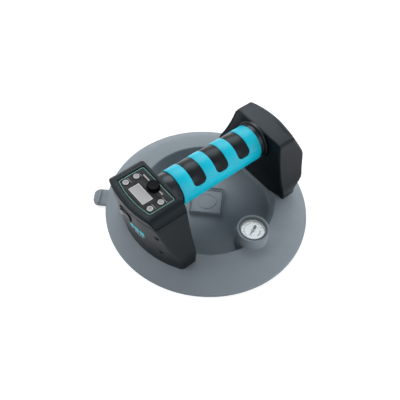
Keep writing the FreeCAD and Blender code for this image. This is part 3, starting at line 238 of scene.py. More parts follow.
def surface(name, colour, roughness, metallic=0.0, grain_mm=0.0, grain=0.0, tone=0.0,
            cells=False, stretch=None, centre=None, **extra):
    """A finish with a fine grain in the bump and a slow drift in tone and gloss.

    grain_mm is the size of the grain, grain its height and tone how far the colour drifts.
    cells makes it the pits of spark erosion, stretch draws it out along an axis as extrusion
    does, and centre winds it round an upright axis as turning does."""
    material = bpy.data.materials.new(name)
    material.use_nodes = True
    tree = material.node_tree
    tree.nodes.clear()
    out = add_node(tree, "ShaderNodeOutputMaterial", (600, 0))
    shader = add_node(tree, "ShaderNodeBsdfPrincipled", (300, 0), Metallic=metallic,
                      Roughness=roughness, Base_Color=linear(colour), **extra)
    tree.links.new(shader.outputs[0], out.inputs["Surface"])
    coords = add_node(tree, "ShaderNodeTexCoord", (-1300, 0)).outputs["Object"]
    if tone:
        cloud = add_node(tree, "ShaderNodeTexNoise", (-600, 200), Scale=1 / (DRIFT_MM * MM),
                         Detail=3.0, links=[(coords, "Vector")])
        ramp = add_node(tree, "ShaderNodeMapRange", (-400, 200), To_Min=1 - tone, To_Max=1 + tone,
                        links=[(cloud.outputs["Fac"], "Value")])
        tint = add_node(tree, "ShaderNodeHueSaturation", (0, 200), Color=linear(colour),
                        links=[(ramp.outputs[0], "Value")])
        tree.links.new(tint.outputs[0], shader.inputs["Base Color"])
        gloss = add_node(tree, "ShaderNodeMapRange", (-200, -60), From_Min=0.3, From_Max=0.7,
                         To_Min=roughness * 0.92, To_Max=min(1.0, roughness * 1.1),
                         links=[(cloud.outputs["Fac"], "Value")])
        tree.links.new(gloss.outputs[0], shader.inputs["Roughness"])
    if grain:
        vector = grain_vector(tree, coords, stretch, centre)
        if cells:
            speck = add_node(tree, "ShaderNodeTexVoronoi", (-500, -300), Scale=1 / (grain_mm * MM),
                             feature="SMOOTH_F1", Smoothness=0.6, links=[(vector, "Vector")])
            height = speck.outputs["Distance"]
        else:
            speck = add_node(tree, "ShaderNodeTexNoise", (-500, -300), Scale=1 / (grain_mm * MM),
                             Detail=2.0, links=[(vector, "Vector")])
            height = speck.outputs["Fac"]
        bump = add_node(tree, "ShaderNodeBump", (0, -300), Strength=grain,
                        Distance=grain_mm * MM * 0.4, links=[(height, "Height")])
        tree.links.new(bump.outputs[0], shader.inputs["Normal"])
    return material


# The gauge stands here on the plate; its rings of tool marks run round this axis.
GAUGE = (4.5, -62.0, 0.0)
# Fine moulded tooth throws a cool glint, so the blacks take this tint where they shine.
COOL = linear("DCEAF2")

# Moulded tooth and tool marks are really 0.1 to 0.2 mm apart. That is too fine to show, so their
# grain is drawn three to six times coarser. Orange peel is drawn at its own 1.6 mm.
FINISH = {
    # Nitrile rubber from a blasted mould: even grey, a soft wide sheen, no sharp reflection.
    "cup_rubber": surface("moulded_grey_nitrile", "71787C", 0.52, Specular_IOR_Level=0.2,
                          grain_mm=0.7, grain=0.16, tone=0.05, cells=True),
    # Aluminium casting with baked enamel: the cup's grey, a little glossier, faint orange peel.
    "plate_alloy": surface("enamelled_casting", "71787C", 0.46, Specular_IOR_Level=0.2,
                           grain_mm=1.6, grain=0.1, tone=0.04),
    # Bright zinc on turned steel: pale, a little blue, with a soft metal glint.
    "zinc_steel": surface("zinc_plated_steel", "A8AAA6", 0.35, metallic=1.0, grain_mm=0.8,
                          grain=0.1, tone=0.05),
    # Sintered felt: open, dull and pale.
    "filter_foam": surface("sintered_felt", "C9C9C4", 0.9, grain_mm=0.5, grain=0.5, tone=0.05),
    # ABS from a spark-eroded mould: near black, with a fine satin tooth that spreads the light.
    "housing_black": surface("spark_textured_black_abs", "050A0E", 0.42, Specular_IOR_Level=0.25,
                             Specular_Tint=COOL, grain_mm=0.7, grain=0.16, tone=0.06,
                             cells=True),
    # ABS from a smoother mould: the same black, calmer and a little glossier.
    "cap_black": surface("satin_black_abs", "070C10", 0.38, Specular_IOR_Level=0.16,
                         Specular_Tint=COOL, grain_mm=0.8, grain=0.06, tone=0.05),
    # Polycarbonate film, printed on its back: dark warm grey, slightly pebbled.
    "overlay_film": surface("printed_panel_film", "0D0C0D", 0.42, Specular_IOR_Level=0.13,
                            grain_mm=0.6, grain=0.06, tone=0.05),
    # An unlit reflective display: plain light grey, almost matt.
    "lcd_window": surface("unlit_display", "878683", 0.4, Specular_IOR_Level=0.4, grain_mm=0.5,
                          grain=0.04, tone=0.03),
    # Moulded ABS behind the display's pane: flat middle grey, satin.
    "lcd_frame": surface("moulded_grey_frame", "4A4C4D", 0.5, grain_mm=0.8, grain=0.05,
                         tone=0.04),
    # Solder resist over copper: deep green, wet looking.
    "board_green": surface("green_solder_resist", "1D5A36", 0.35, grain_mm=1.2, grain=0.08,
                           tone=0.08),
    # Moulded nylon of the inner parts: dark grey-black, satin, quite plain.
    "part_black": surface("moulded_black_nylon", "1B1D1E", 0.5, grain_mm=0.8, grain=0.06,
                          tone=0.05),
    # Phenolic knob from a matt mould: deep black that hardly shines.
    "knob_black": surface("moulded_black_phenolic", "040606", 0.5, Specular_IOR_Level=0.05,
                          grain_mm=0.9, grain=0.04, tone=0.05),
    # Polycarbonate switch rocker from a polished mould: black with a clear, soft reflection.
    "rocker_black": surface("polished_black_polycarbonate", "050607", 0.34,
                            Specular_IOR_Level=0.16, grain_mm=0.9, grain=0.03, tone=0.05),
    # Deep-drawn steel can: bright, with fine draw lines along the can.
    "motor_steel": surface("drawn_steel_can", "B3B4B4", 0.28, metallic=1.0, grain_mm=0.4,
                           grain=0.1, tone=0.05, stretch=(1, 0.05, 1)),
    # Moulded acetal, undyed: milky white with a waxy sheen.
    "pump_plastic": surface("natural_white_acetal", "D6D5CF", 0.4, grain_mm=0.9, grain=0.05,
                            tone=0.03),
    # Extruded rubber hose: black, dull, faintly rough.
    "hose_rubber": surface("extruded_black_rubber", "18191A", 0.5, grain_mm=0.5, grain=0.08,
                           tone=0.05),
    # Extruded aluminium tube: die lines run along it.
    "tube_aluminium": surface("extruded_aluminium", "C4C5C6", 0.3, metallic=1.0, grain_mm=0.4,
                              grain=0.12, tone=0.04, stretch=(0.03, 1, 1)),
    # Thermoplastic rubber over the grip core: strong blue, satin, a very fine tooth.
    "sleeve_cyan": surface("satin_blue_elastomer", "00A4B7", 0.36, Specular_IOR_Level=0.24,
                           grain_mm=0.6, grain=0.1, tone=0.03, cells=True),
    # Soft rubber pads: black, satin, a grain that can be felt.
    "pad_black": surface("moulded_black_rubber", "030607", 0.3, Specular_IOR_Level=0.22,
                         Specular_Tint=COOL, grain_mm=0.7, grain=0.16, tone=0.06, cells=True),
    # ABS collars from a polished mould: black with a bright line along the round.
    "collar_black": surface("satin_black_collar", "080B0E", 0.28, Specular_IOR_Level=0.33,
                            Specular_Tint=COOL, grain_mm=0.8, grain=0.05, tone=0.05),
    # Heat-shrunk film on the cells: smooth, glossy blue.
    "cell_wrap": surface("blue_shrink_film", "2B6A94", 0.3, grain_mm=1.5, grain=0.1, tone=0.05),
    # Steel screws, chemically blackened: dark with a dull metal glint.
    "black_steel": surface("blackened_steel", "2A2A2B", 0.4, metallic=1.0, grain_mm=0.5,
                           grain=0.1, tone=0.05),
    # Pressed steel gauge case under dark plating: a broad, dim metal sheen.
    "gauge_steel": surface("dark_plated_steel", "3A3D3F", 0.38, metallic=0.8, grain_mm=0.4,
                           grain=0.12, tone=0.05, centre=GAUGE),
    # Machined brass of the movement: warm, bright, with turning marks.
    "gauge_brass": surface("machined_brass", "C0A060", 0.3, metallic=1.0, grain_mm=0.4,
                           grain=0.1, tone=0.05, centre=GAUGE),
    # Aluminium dial with baked white lacquer: clean white, soft gloss.
    "dial_white": surface("white_lacquered_dial", "F8FAF8", 0.45, grain_mm=0.7, grain=0.03,
                          tone=0.02),
    # Stamped needle, spray painted: dark grey, satin.
    "needle_dark": surface("dark_painted_needle", "3A3C3D", 0.4, grain_mm=0.5, grain=0.04,
                           tone=0.03),
    # Turned aluminium, anodised dark: rings of tool marks round the glass.
    "gauge_rim": surface("turned_dark_rim", "33383A", 0.34, metallic=0.7, grain_mm=0.3,
                         grain=0.16, tone=0.04, centre=GAUGE),
    # Moulded ABS keys: warm light grey, satin.
    "button_grey": surface("moulded_grey_button", "9A9894", 0.5, grain_mm=0.6, grain=0.06,
                           tone=0.03),
    # Flat glass: nearly clear, with a thin reflection.
    "gauge_glass": surface("flat_gauge_glass", "FFFFFF", 0.06, Alpha=0.05, IOR=1.5),
}

# Screen inks lie on the film, the dial and the head: even in colour and flat in gloss.
TEAL_INK = surface("teal_screen_ink", "388570", 0.5, grain_mm=0.8, grain=0.03, tone=0.05)
WHITE_INK = surface("white_screen_ink", "B9B4B2", 0.5, grain_mm=0.8, grain=0.03, tone=0.05)
GREY_INK = surface("grey_screen_ink", "8E8C90", 0.5, grain_mm=0.8, grain=0.03, tone=0.08)
BLUE_INK = surface("blue_screen_ink", "1AA2AE", 0.45, grain_mm=0.8, grain=0.03, tone=0.05)
DIAL_INK = surface("dark_dial_ink", "5A5E60", 0.5, grain_mm=0.5, grain=0.03, tone=0.05)
DIAL_BAND = surface("grey_dial_ink", "7C8184", 0.5, grain_mm=0.5, grain=0.03, tone=0.05)
# Moulded ABS rim of the display: pale, with a soft edge light.
PALE_RIM = surface("pale_display_rim", "ACADAA", 0.45, grain_mm=0.6, grain=0.03, tone=0.03)
# A painted highlight for the end of the rocker's raised half: middle grey with a soft gloss,
# standing in for the light that end reflects.
HIGHLIGHT_GREY = surface("painted_highlight_grey", "6E7274", 0.35, grain_mm=0.8, grain=0.04, tone=0.05)
# Spun steel spacer under the glass, nickel plated: pale, with fine rings in its shine.
PALE_STEEL = surface("spun_pale_steel", "A4A8AA", 0.35, metallic=0.6, grain_mm=0.3, grain=0.12,
                     tone=0.04, centre=GAUGE)
# The dished middle of each key: the same ABS, painted a darker grey.
KEY_GREY = surface("darker_key_middle", "7C7C7E", 0.5, grain_mm=0.6, grain=0.06, tone=0.03)


def dress_cad_nodes():
    """Gives each CAD node the finish of its slot; the shown ones keep it."""
    for row in frame["record"]["subparts"]:
        node = frame["nodes"][row["node"]]
        node.data.materials.clear()
        node.data.materials.append(FINISH[row["material_slot"]])


dress_cad_nodes()

SLOT_OF = {row["node"]: row["material_slot"] for row in frame["record"]["subparts"]}
BODY_OF = {node: body for body, nodes in frame["record"]["behaviour"]["bodies"].items()
           for node in nodes}


# ------------------------------------------------------------ the hand tools

def rest():
    """Leaves edit mode, with nothing selected."""
    if bpy.context.mode != "OBJECT":
        bpy.ops.object.mode_set(mode="OBJECT")
    bpy.ops.object.select_all(action="DESELECT")


def take(piece):
    """Selects the piece alone."""
    rest()
    piece.select_set(True)
    bpy.context.view_layer.objects.active = piece


def start(add, name, place=None, **where):
    """Adds a primitive at its size, in millimetres, and puts its place in its mesh."""
    rest()
    lengths = {"size", "radius", "radius1", "radius2", "major_radius", "minor_radius", "depth",
               "location"}
    add(**{key: (tuple(v * MM for v in value) if key == "location" else value * MM)
           if key in lengths else value for key, value in where.items()})
    piece = bpy.context.object
    piece.name = piece.data.name = name
    if place:
        piece.matrix_world = place @ piece.matrix_world
    bpy.ops.object.transform_apply(location=True, rotation=True, scale=True)
    return piece


def bar(name, low, high, place=None):
    """A block between two corners in millimetres."""
    rest()
    bpy.ops.mesh.primitive_cube_add(size=1)
    piece = bpy.context.object
    piece.name = piece.data.name = name
    middle = (Vector(low) + Vector(high)) / 2 * MM
    size = (Vector(high) - Vector(low)) * MM
    piece.matrix_world = (place or Matrix()) @ Matrix.Translation(middle) @ Matrix.Diagonal(
        size.to_4d())
    bpy.ops.object.transform_apply(location=True, rotation=True, scale=True)
    return piece


def pick_faces(piece, test):
    """Edit mode, with only the faces whose centre and normal pass the test selected."""
    take(piece)
    bpy.ops.object.mode_set(mode="EDIT")
    bpy.ops.mesh.select_mode(type="FACE")
    bpy.ops.mesh.select_all(action="DESELECT")
    bpy.ops.object.mode_set(mode="OBJECT")
    for face in piece.data.polygons:
        face.select = test(face.center / MM, face.normal)
    bpy.ops.object.mode_set(mode="EDIT")


def work_face(piece, test, steps):
    """Insets the picked faces and moves them along their normals: (inset, rise) in millimetres."""
    pick_faces(piece, test)
    for inset, rise in steps:
        bpy.ops.mesh.inset(thickness=inset * MM, depth=rise * MM, use_boundary=True)
    rest()


def facing(way, least=0.9):
    """A test for the faces that look along a direction; a least of -2 takes them all."""
    way = Vector(way).normalized()
    return lambda centre, normal: normal.dot(way) > least


def pick_vertices(piece, chosen):
    """Edit mode, with only the shown vertices whose place in millimetres is chosen."""
    take(piece)
    bpy.ops.object.mode_set(mode="EDIT")
    bpy.ops.mesh.select_mode(type="VERT")
    bpy.ops.mesh.select_all(action="DESELECT")
    bpy.ops.object.mode_set(mode="OBJECT")
    for vertex in piece.data.vertices:
        vertex.select = not vertex.hide and chosen(vertex.co / MM)
    bpy.ops.object.mode_set(mode="EDIT")


def soften_block(piece, width, segments):
    """Bevels every edge of a thin block; a width over half its thickness swells it."""
    take(piece)
    bpy.ops.object.mode_set(mode="EDIT")
    bpy.ops.mesh.select_mode(type="EDGE")
    bpy.ops.mesh.select_all(action="SELECT")
    bpy.ops.mesh.bevel(offset=width * MM, segments=segments)
    rest()


def raise_ring(disc, width, height):
    """Makes a flat disc a closed ring of this width and height in millimetres."""
    pick_faces(disc, facing(UP, -2))
    bpy.ops.mesh.inset(thickness=width * MM, use_boundary=True)
    bpy.ops.mesh.delete(type="FACE")
    bpy.ops.mesh.select_all(action="SELECT")
    bpy.ops.mesh.extrude_region_move(TRANSFORM_OT_translate={"value": (0, 0, height * MM)})
    bpy.ops.mesh.select_all(action="SELECT")
    bpy.ops.mesh.normals_make_consistent(inside=False)
    rest()


def round_edges(piece, width, segments=2, smooth=35, angle=30):
    """Rounds the sharp edges by a width in millimetres and shades the rest smooth."""
    take(piece)
    bevel = piece.modifiers.new("round", "BEVEL")
    bevel.limit_method = "ANGLE"
    bevel.angle_limit = math.radians(angle)
    bevel.width = width * MM
    bevel.segments = segments
    bevel.use_clamp_overlap = True
    bpy.ops.object.modifier_apply(modifier=bevel.name)
    bpy.ops.object.shade_smooth_by_angle(angle=math.radians(smooth))


def join(pieces):
    """Joins the pieces into the first one, each keeping its own finish."""
    rest()
    for piece in pieces:
        piece.select_set(True)
    bpy.context.view_layer.objects.active = pieces[0]
    bpy.ops.object.join()
    return pieces[0]


def paint(piece, material, test=None):
    """Gives the piece a finish, or only the faces that pass the test."""
    if test is None:
        piece.data.materials.clear()
    piece.data.materials.append(material)
    for face in piece.data.polygons:
        if test is None or test(face.center / MM, face.normal):
            face.material_index = len(piece.data.materials) - 1
    return piece


def settle(piece, slot, body, *stands_for):
    """Hands the finished piece to its body, and to the nodes that it stands for."""
    if not piece.data.materials:
        paint(piece, FINISH[slot])
    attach(piece, body)
    if stands_for:
        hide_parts(*stands_for)
    return piece


def merged_copy(node, name):
    """A copy of a CAD node with its loose triangles joined into whole faces."""
    source = frame["nodes"][node]
    piece = source.copy()
    piece.data = source.data.copy()
    piece.name = piece.data.name = name
    bpy.context.scene.collection.objects.link(piece)
    piece.parent = None
    take(piece)
    bpy.ops.object.mode_set(mode="EDIT")
    bpy.ops.mesh.select_all(action="SELECT")
    bpy.ops.mesh.remove_doubles(threshold=1e-6)
    bpy.ops.mesh.dissolve_limited(angle_limit=math.radians(0.5))
    rest()
    return piece


# ------------------------------------------------------------ moulded and turned skins

# A mould's corners and a turned edge are never sharp: the width of each round in millimetres.
ROUNDS = {
    "suction_cup": 0.35, "base_plate": 0.3, "head_housing": 0.9, "head_cap": 0.4,
    "head_inner_plate": 0.4, "leg_housing": 1.2, "leg_inner_plate": 0.4, "grip_sleeve": 0.5,
    "grip_pads": 0.3, "near_collar": 0.4, "far_collar": 0.4, "gauge_bezel": 0.25,
    "gauge_case": 0.2, "rocker_frame": 0.25, "panel_overlay": 0.12, "clamp_ring": 0.3,
    "clamp_screws": 0.3, "lug_screws": 0.3, "case_screws": 0.15, "tube_rings": 0.15,
    "inlet_filter": 0.2,
}

# The leg's near shoulder stands wider and drops softly: (lowest z, shift, reach, falloff) in mm.
# Only the near side past SHOULDER_SIDE moves, so the top and the far side keep their lines.
SHOULDER_SIDE = -20
SHOULDER_PULLS = (
    (78.4, (0, -2.9, 0), 41, "LINEAR"),
    (82.5, (0, -2.6, -1.6), 6, "SMOOTH"),
)


def pull_shoulder(skin):
    """Draws the near shoulder out and down, with the rest of the leg held."""
    pick_vertices(skin, lambda spot: spot.y > SHOULDER_SIDE)
    bpy.ops.mesh.hide(unselected=False)
    for low, shift, reach, falloff in SHOULDER_PULLS:
        pick_vertices(skin, lambda spot: spot.y < SHOULDER_SIDE - 5 and spot.z > low)
        bpy.ops.transform.translate(value=Vector(shift) * MM, use_proportional_edit=True,
                                    proportional_edit_falloff=falloff,
                                    proportional_size=reach * MM)
    bpy.ops.mesh.reveal(select=False)
    rest()


def make_skins():
    """Each shell, plate, ring and screw again, with its edges rounded as a mould rounds them."""
    for node, width in ROUNDS.items():
        skin = merged_copy(node, node + "_skin")
        round_edges(skin, width)
        if node in ("leg_housing", "leg_inner_plate"):
            pull_shoulder(skin)
        if node == "rocker_frame":
            paint(skin, FINISH["housing_black"])  # The frame has the housing's tooth.
        settle(skin, SLOT_OF[node], BODY_OF[node], node)


make_skins()


# ------------------------------------------------------------ control panel

PANEL_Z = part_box("panel_overlay")[1].z / MM
# How far a print stands above its surface, and reaches below it.
INK = 0.03
# The line's outer edge: its front arc, its back, half its width and its rounded corners.
LINE_R, LINE_BACK_X, LINE_HALF, LINE_CORNER, LINE_WIDTH = 89.3, -59.8, 22.9, 1.3, 0.52
# (x, first y, last y) of the bars at the knob and of the thin lines beside the buttons.
KNOB_BARS = ((-64.8, 6.7, 15.7), (-64.8, -12.4, -7.7))
KEY_LINES = ((-66.9, 14.7, 20.4), (-66.8, -21.2, -14.2), (-78.2, -20.8, -14.5),
             (-78.2, 14.9, 20.9))


def printed_bars(name, places, width, ink):
    """Printed bars along Y, whose bevel rounds their ends and also makes them thicker."""
    bars = []
    for x, first, last in places:
        piece = bar(name, (x - width / 2, first, PANEL_Z - INK),
                    (x + width / 2, last, PANEL_Z + INK))
        soften_block(piece, width * 0.45, 3)
        bars.append(piece)
    settle(paint(join(bars), ink), "overlay_film", "base")


def panel_line():
    """The printed line round the panel: a disc cut to the panel's front arc and three sides."""
    piece = start(bpy.ops.mesh.primitive_circle_add, "panel_line", vertices=360, radius=LINE_R,
                  location=(0, 0, PANEL_Z - INK), fill_type="NGON")
    for point, way in (((LINE_BACK_X, 0, 0), (1, 0, 0)), ((0, LINE_HALF, 0), (0, 1, 0)),
                       ((0, -LINE_HALF, 0), (0, -1, 0))):
        take(piece)
        bpy.ops.object.mode_set(mode="EDIT")
        bpy.ops.mesh.select_all(action="SELECT")
        bpy.ops.mesh.bisect(plane_co=Vector(point) * MM, plane_no=way, clear_outer=True)
    front_x = -math.sqrt(LINE_R ** 2 - LINE_HALF ** 2)
    corners = [Vector((x, y)) for x in (LINE_BACK_X, front_x) for y in (-LINE_HALF, LINE_HALF)]
    pick_vertices(piece, lambda spot: any((spot.xy - c).length < 0.05 for c in corners))
    bpy.ops.mesh.bevel(offset=LINE_CORNER * MM, segments=5, affect="VERTICES")
    raise_ring(piece, LINE_WIDTH, 2 * INK)
    settle(paint(piece, TEAL_INK), "overlay_film", "base")


def display():
    """The window is a step-edged pane: a pale moulded rim round a sunk grey screen."""
    low, high = (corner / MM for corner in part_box("lcd_window"))
    rim, sunk = 0.5, 0.12
    pane = bar("display_pane", low, high)
    work_face(pane, facing(UP), [(rim, 0.0), (0.15, -sunk)])
    paint(pane, PALE_RIM)
    paint(pane, FINISH["lcd_window"],
          lambda centre, normal: normal.z > 0.9 and centre.z < high.z - 0.1)
    round_edges(pane, 0.08)
    settle(pane, "lcd_window", "base", "lcd_window")


KEY_R, KEY_STEP, FLANGE_T = 3.3, 0.4, 0.8
# The dark outer step and the dished middle of a key, as radii.
KEY_STEP_R, KEY_DISH_R = 2.85, 1.95


def buttons():
    """Round keys with a dark outer step, a raised rim and a dished middle."""
    for number in range(1, 5):
        node = "button_%d" % number
        low, high = (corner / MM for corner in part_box(node))
        x, y = (low.x + high.x) / 2, (low.y + high.y) / 2

        def away(centre):
            return math.hypot(centre.x - x, centre.y - y)

        key = start(bpy.ops.mesh.primitive_cylinder_add, node + "_key", vertices=64, radius=KEY_R,
                    depth=high.z - low.z - KEY_STEP,
                    location=(x, y, (low.z + high.z - KEY_STEP) / 2))
        work_face(key, facing(UP), [(0.5, 0.0), (0.02, KEY_STEP), (0.75, 0.0), (0.25, -0.25),
                                    (0.8, -0.05)])
        round_edges(key, 0.12)
        paint(key, FINISH["button_grey"])
        # The dished middle is painted a darker grey than the rim.
        paint(key, KEY_GREY, lambda centre, normal: normal.z > 0.5 and centre.z > high.z - 0.35
              and away(centre) < KEY_DISH_R)
        paint(key, FINISH["overlay_film"], lambda centre, normal: away(centre) > KEY_STEP_R)
        flange = start(bpy.ops.mesh.primitive_cylinder_add, "flange", vertices=64,
                       radius=(high.x - low.x) / 2, depth=FLANGE_T,
                       location=(x, y, low.z + FLANGE_T / 2))
        round_edges(flange, 0.15)
        paint(flange, FINISH["button_grey"])
        settle(join([key, flange]), "button_grey", BODY_OF[node], node)


KNOB_R, KNOB_TOP_R, KNOB_H, STEM_R = 6.2, 5.3, 3.6, 2.0
# The knob's ring has four points to a flute, and two of them are drawn in by six per cent.
KNOB_POINTS, FLUTE_DRAW = 96, 0.94


def knob():
    """A fluted knob with a dished top and a raised pointer."""
    low, high = (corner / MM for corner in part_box("set_knob"))
    x, y = (low.x + high.x) / 2, (low.y + high.y) / 2
    grip = start(bpy.ops.mesh.primitive_cone_add, "knob_body", vertices=KNOB_POINTS,
                 radius1=KNOB_R, radius2=KNOB_TOP_R, depth=KNOB_H,
                 location=(x, y, high.z - KNOB_H / 2))
    work_face(grip, facing(UP), [(0.7, 0.0), (0.3, -0.25), (1.5, -0.05)])

    def in_flute(spot):
        index = round(math.atan2(spot.y - y, spot.x - x) % math.tau / math.tau * KNOB_POINTS)
        return math.hypot(spot.x - x, spot.y - y) > 5.0 and index % 4 in (0, 1)

    pick_vertices(grip, in_flute)
    bpy.ops.transform.resize(value=(FLUTE_DRAW, FLUTE_DRAW, 1),
                             center_override=(x * MM, y * MM, 0))
    rest()
    round_edges(grip, 0.22, angle=32)
    pointer = bar("pointer", (x + 1.0, y - 0.35, high.z - 0.6), (x + 3.9, y + 0.35, high.z - 0.1))
    round_edges(pointer, 0.12)
    stem_top = high.z - KNOB_H + 1
    stem = start(bpy.ops.mesh.primitive_cylinder_add, "stem", vertices=32, radius=STEM_R,
                 depth=stem_top - low.z, location=(x, y, (stem_top + low.z) / 2))
    round_edges(stem, 0.2)
    settle(join([grip, pointer, stem]), "knob_black", BODY_OF["set_knob"], "set_knob")


panel_line()
printed_bars("scale_bars", KNOB_BARS, 1.15, WHITE_INK)
printed_bars("key_marks", KEY_LINES, 0.5, GREY_INK)
display()
buttons()
knob()


# ------------------------------------------------------------ rocker switch and front prints

# The head's front is a cone about the cup's axis: 97 mm at the cap, leaning in below it.
ROCKER_Y, ROCKER_Z, HEAD_LEAN = 3.4, 66.0, math.radians(8.5)
FRONT_R = 97.0 - (86.9 - ROCKER_Z) * math.tan(HEAD_LEAN)
FRONT_TURN = math.asin(ROCKER_Y / FRONT_R)
# Carries what is drawn outward along +X about the origin to the rocker's seat.
ON_FRONT = (Matrix.Translation(Vector((-FRONT_R * math.cos(FRONT_TURN), ROCKER_Y, ROCKER_Z)) * MM)
            @ Matrix.Rotation(math.pi - FRONT_TURN, 4, "Z") @ Matrix.Rotation(HEAD_LEAN, 4, "Y"))
# The paddle rocks about a pin behind its face, and rests tilted to off.
PIVOT = Matrix.Translation(Vector((-1.6 * MM, 0, 0)))
ON_ROCKER = ON_FRONT @ PIVOT @ Matrix.Rotation(math.radians(9), 4, "Z") @ PIVOT.inverted()
# The side whose half is raised, where its painted highlight begins, and how far off the marks
# stand.
RAISED, HIGHLIGHT_FROM, MARK_AWAY = -1, 2.4, 3.6
# The slope of the sunk half, on which the O lies.
SUNK_SLOPE = math.radians(9.7)
# The prints are hung just outside the head's front, at these radii, and then drawn onto it.
PRINT_R, HUNG_R = 92, 94
# Middle y, lowest and highest z, width and ink of each print under the rocker.
FRONT_PRINTS = tuple((y, 49.0, 56.6, 5.5, BLUE_INK) for y in (-2.4, -9.0, -15.6)) + (
    (-10.5, 45.4, 46.5, 12.0, WHITE_INK),)


def rocker_paddle():
    """The paddle with the end of its raised half painted pale as a highlight, and an I and an O on
    the two halves.
    """
    paddle = merged_copy("rocker", "rocker_paddle")
    into = ON_ROCKER.inverted()

    # The faces of the painted highlight: the far end of the raised half's face.
    def highlight_end(centre, normal):
        spot = into @ (centre * MM) / MM
        return spot.x > 0.8 and spot.y * RAISED > HIGHLIGHT_FROM

    take(paddle)
    bpy.ops.object.mode_set(mode="EDIT")
    bpy.ops.mesh.select_all(action="SELECT")
    bpy.ops.mesh.bisect(plane_co=ON_ROCKER @ Vector((0, RAISED * HIGHLIGHT_FROM * MM, 0)),
                        plane_no=ON_ROCKER.to_3x3() @ Vector((0, 1, 0)))
    rest()
    round_edges(paddle, 0.25)
    paint(paddle, FINISH["rocker_black"])
    # The pale end is a painted highlight, where the raised half catches the light; the paddle
    # itself is all black.
    paint(paddle, HIGHLIGHT_GREY, highlight_end)
    line_y = RAISED * MARK_AWAY
    mark_on = bar("mark_on", (1.25, line_y - 0.25, -1.1), (1.62, line_y + 0.25, 1.1), ON_ROCKER)
    paint(mark_on, DIAL_INK)
    mark_off = start(bpy.ops.mesh.primitive_torus_add, "mark_off", major_radius=0.95,
                     minor_radius=0.2, major_segments=32, minor_segments=8,
                     place=ON_ROCKER @ Matrix.Translation(Vector((1.47, -line_y, 0)) * MM)
                     @ Matrix.Rotation(RAISED * SUNK_SLOPE, 4, "Z")
                     @ Matrix.Rotation(math.radians(90), 4, "Y"))
    bpy.ops.object.shade_smooth()
    paint(mark_off, GREY_INK)
    settle(join([paddle, mark_on, mark_off]), "rocker_black", BODY_OF["rocker"], "rocker")


def front_blocks():
    """Three plain printed blocks over a thin line, laid on the round of the head."""
    blocks = []
    for y, low, high, width, ink in FRONT_PRINTS:
        block = start(bpy.ops.mesh.primitive_grid_add, "front_blocks", x_subdivisions=2,
                      y_subdivisions=12, size=1)
        block.matrix_world = (Matrix.Rotation(math.pi + math.asin(-y / PRINT_R), 4, "Z")
                              @ Matrix.Translation(Vector((HUNG_R, 0, (low + high) / 2)) * MM)
                              @ Matrix.Rotation(math.radians(90), 4, "Y")
                              @ Matrix.Diagonal((high - low, width, 1, 1)))
        take(block)
        bpy.ops.object.transform_apply(location=True, rotation=True, scale=True)
        wrap = block.modifiers.new("wrap", "SHRINKWRAP")
        wrap.target = bpy.data.objects["head_housing_skin"]
        wrap.offset = 0.04 * MM
        wrap.wrap_mode = "ABOVE_SURFACE"
        bpy.ops.object.modifier_apply(modifier=wrap.name)
        bpy.ops.object.shade_smooth()
        blocks.append(paint(block, ink))
    settle(join(blocks), "housing_black", "base")


rocker_paddle()
front_blocks()


# ------------------------------------------------------------ vacuum gauge

DIAL_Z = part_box("gauge_dial")[1].z / MM
AT_DIAL = Matrix.Translation(Vector((GAUGE[0], GAUGE[1], DIAL_Z)) * MM)
# The scale runs clockwise: where its first tick stands, how far it goes, and the dial's turn,
# in degrees about the dial's centre.
SCALE_START, SCALE_SWEEP, DIAL_TURN = 202, 270, -43
TICKS, NUMBERS, TOP_NUMBER = 21, 6, 100
# Radii of the ticks' feet, of the ends of the short and the long ones, and of the numbers.
TICK_FOOT, SHORT_TICK, LONG_TICK, NUMBER_R = 8.4, 8.9, 9.3, 10.05


def dial_arc(name, radius, width, first, last):
    """A printed arc: a thin strip spun clockwise round the dial's centre, in degrees."""
    angle = math.radians(first)
    strip = bar(name, (radius - width / 2, -0.001, -INK), (radius + width / 2, 0.001, INK),
                AT_DIAL @ Matrix.Rotation(angle, 4, "Z"))
    pick_faces(strip, facing((math.sin(angle), -math.cos(angle), 0)))
    bpy.ops.mesh.spin(steps=int((first - last) / 4), angle=math.radians(first - last),
                      center=AT_DIAL.translation, axis=(0, 0, 1))
    bpy.ops.mesh.select_all(action="SELECT")
    bpy.ops.mesh.remove_doubles(threshold=1e-6)
    bpy.ops.mesh.normals_make_consistent(inside=False)
    rest()
    return strip


def dial_numbers():
    """Plain numbers round the dial, all upright as the gauge is turned on the plate."""
    numbers = []
    for index in range(NUMBERS):
        rest()
        bpy.ops.object.text_add()
        number = bpy.context.object
        number.data.body = str(TOP_NUMBER // (NUMBERS - 1) * index)
        number.data.size = 1.3 * MM
        number.data.align_x, number.data.align_y = "CENTER", "CENTER"
        number.data.extrude = INK / 2 * MM
        bpy.ops.object.convert(target="MESH")
        angle = math.radians(SCALE_START - SCALE_SWEEP / (NUMBERS - 1) * index)
        spot = Vector((math.cos(angle), math.sin(angle), 0)) * NUMBER_R * MM
        number.matrix_world = (AT_DIAL @ Matrix.Translation(spot)
                               @ Matrix.Rotation(math.radians(DIAL_TURN), 4, "Z"))
        bpy.ops.object.transform_apply(location=True, rotation=True, scale=True)
        numbers.append(number)
    return numbers


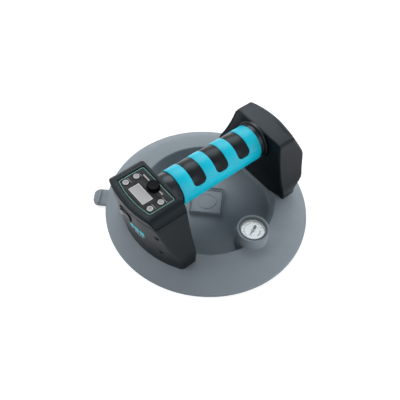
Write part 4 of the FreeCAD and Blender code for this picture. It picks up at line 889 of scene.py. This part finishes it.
def dial_scale():
    """The dial's ink: two thin arcs, ticks, numbers, and a broad band at the end."""
    ink = [dial_arc("dial_scale", 8.2, 0.3, 188, 53), dial_arc("dial_line", 11.0, 0.25, 200, -66)]
    for index in range(TICKS):
        angle = math.radians(SCALE_START - SCALE_SWEEP / (TICKS - 1) * index)
        end, half = (LONG_TICK, 0.14) if index % 2 == 0 else (SHORT_TICK, 0.08)
        ink.append(bar("tick", (TICK_FOOT, -half, -INK), (end, half, INK),
                       AT_DIAL @ Matrix.Rotation(angle, 4, "Z")))
    ink += dial_numbers()
    for piece in ink:
        paint(piece, DIAL_INK)
    band = paint(dial_arc("dial_band", 7.0, 0.9, -35, -92), DIAL_BAND)
    settle(join(ink + [band]), "dial_white", "base")


def dial_ring():
    """The pale ring under the glass that keeps it off the dial."""
    ring = start(bpy.ops.mesh.primitive_circle_add, "dial_ring", vertices=128, radius=11.79,
                 location=(GAUGE[0], GAUGE[1], DIAL_Z), fill_type="NGON")
    raise_ring(ring, 0.55, 2.0)
    round_edges(ring, 0.12)
    settle(paint(ring, PALE_STEEL), "gauge_rim", "base")


def needle():
    """The painted needle with a pale domed hub."""
    piece = merged_copy("gauge_needle", "needle_and_hub")
    round_edges(piece, 0.06)
    paint(piece, FINISH["needle_dark"])
    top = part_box("gauge_needle")[1].z / MM
    hub = start(bpy.ops.mesh.primitive_cylinder_add, "hub", vertices=48, radius=1.25, depth=0.5,
                location=(GAUGE[0], GAUGE[1], top - 0.1))
    work_face(hub, facing(UP), [(0.3, 0.12), (0.4, 0.06)])
    round_edges(hub, 0.1)
    paint(hub, PALE_RIM)
    settle(join([piece, hub]), "needle_dark", BODY_OF["gauge_needle"], "gauge_needle")


dial_scale()
dial_ring()
needle()


# ------------------------------------------------------------ the pad at the middle of the plate

PAD_HALF, PAD_FOOT_Z, PAD_TOP_Z, PAD_BEVEL = 16.6, 9.9, 11.3, 2.6
RING_R, RING_WIDTH, RING_HEIGHT = 9.6, 1.1, 0.45


def middle_pad():
    """A raised square plate with a sunk field and a plain ring in relief."""
    plate = bar("middle_pad", (-PAD_HALF, -PAD_HALF, PAD_FOOT_Z), (PAD_HALF, PAD_HALF, PAD_TOP_Z),
                Matrix.Rotation(math.radians(45), 4, "Z"))
    soften_block(plate, PAD_BEVEL, 6)
    work_face(plate, facing(UP), [(1.5, 0.0), (0.3, -0.45)])
    round_edges(plate, 0.15)
    ring = start(bpy.ops.mesh.primitive_circle_add, "pad_ring", vertices=96, radius=RING_R,
                 location=(0, 0, PAD_TOP_Z - 0.5), fill_type="NGON")
    raise_ring(ring, RING_WIDTH, RING_HEIGHT)
    round_edges(ring, 0.15)
    settle(join([plate, ring]), "plate_alloy", "base")


middle_pad()
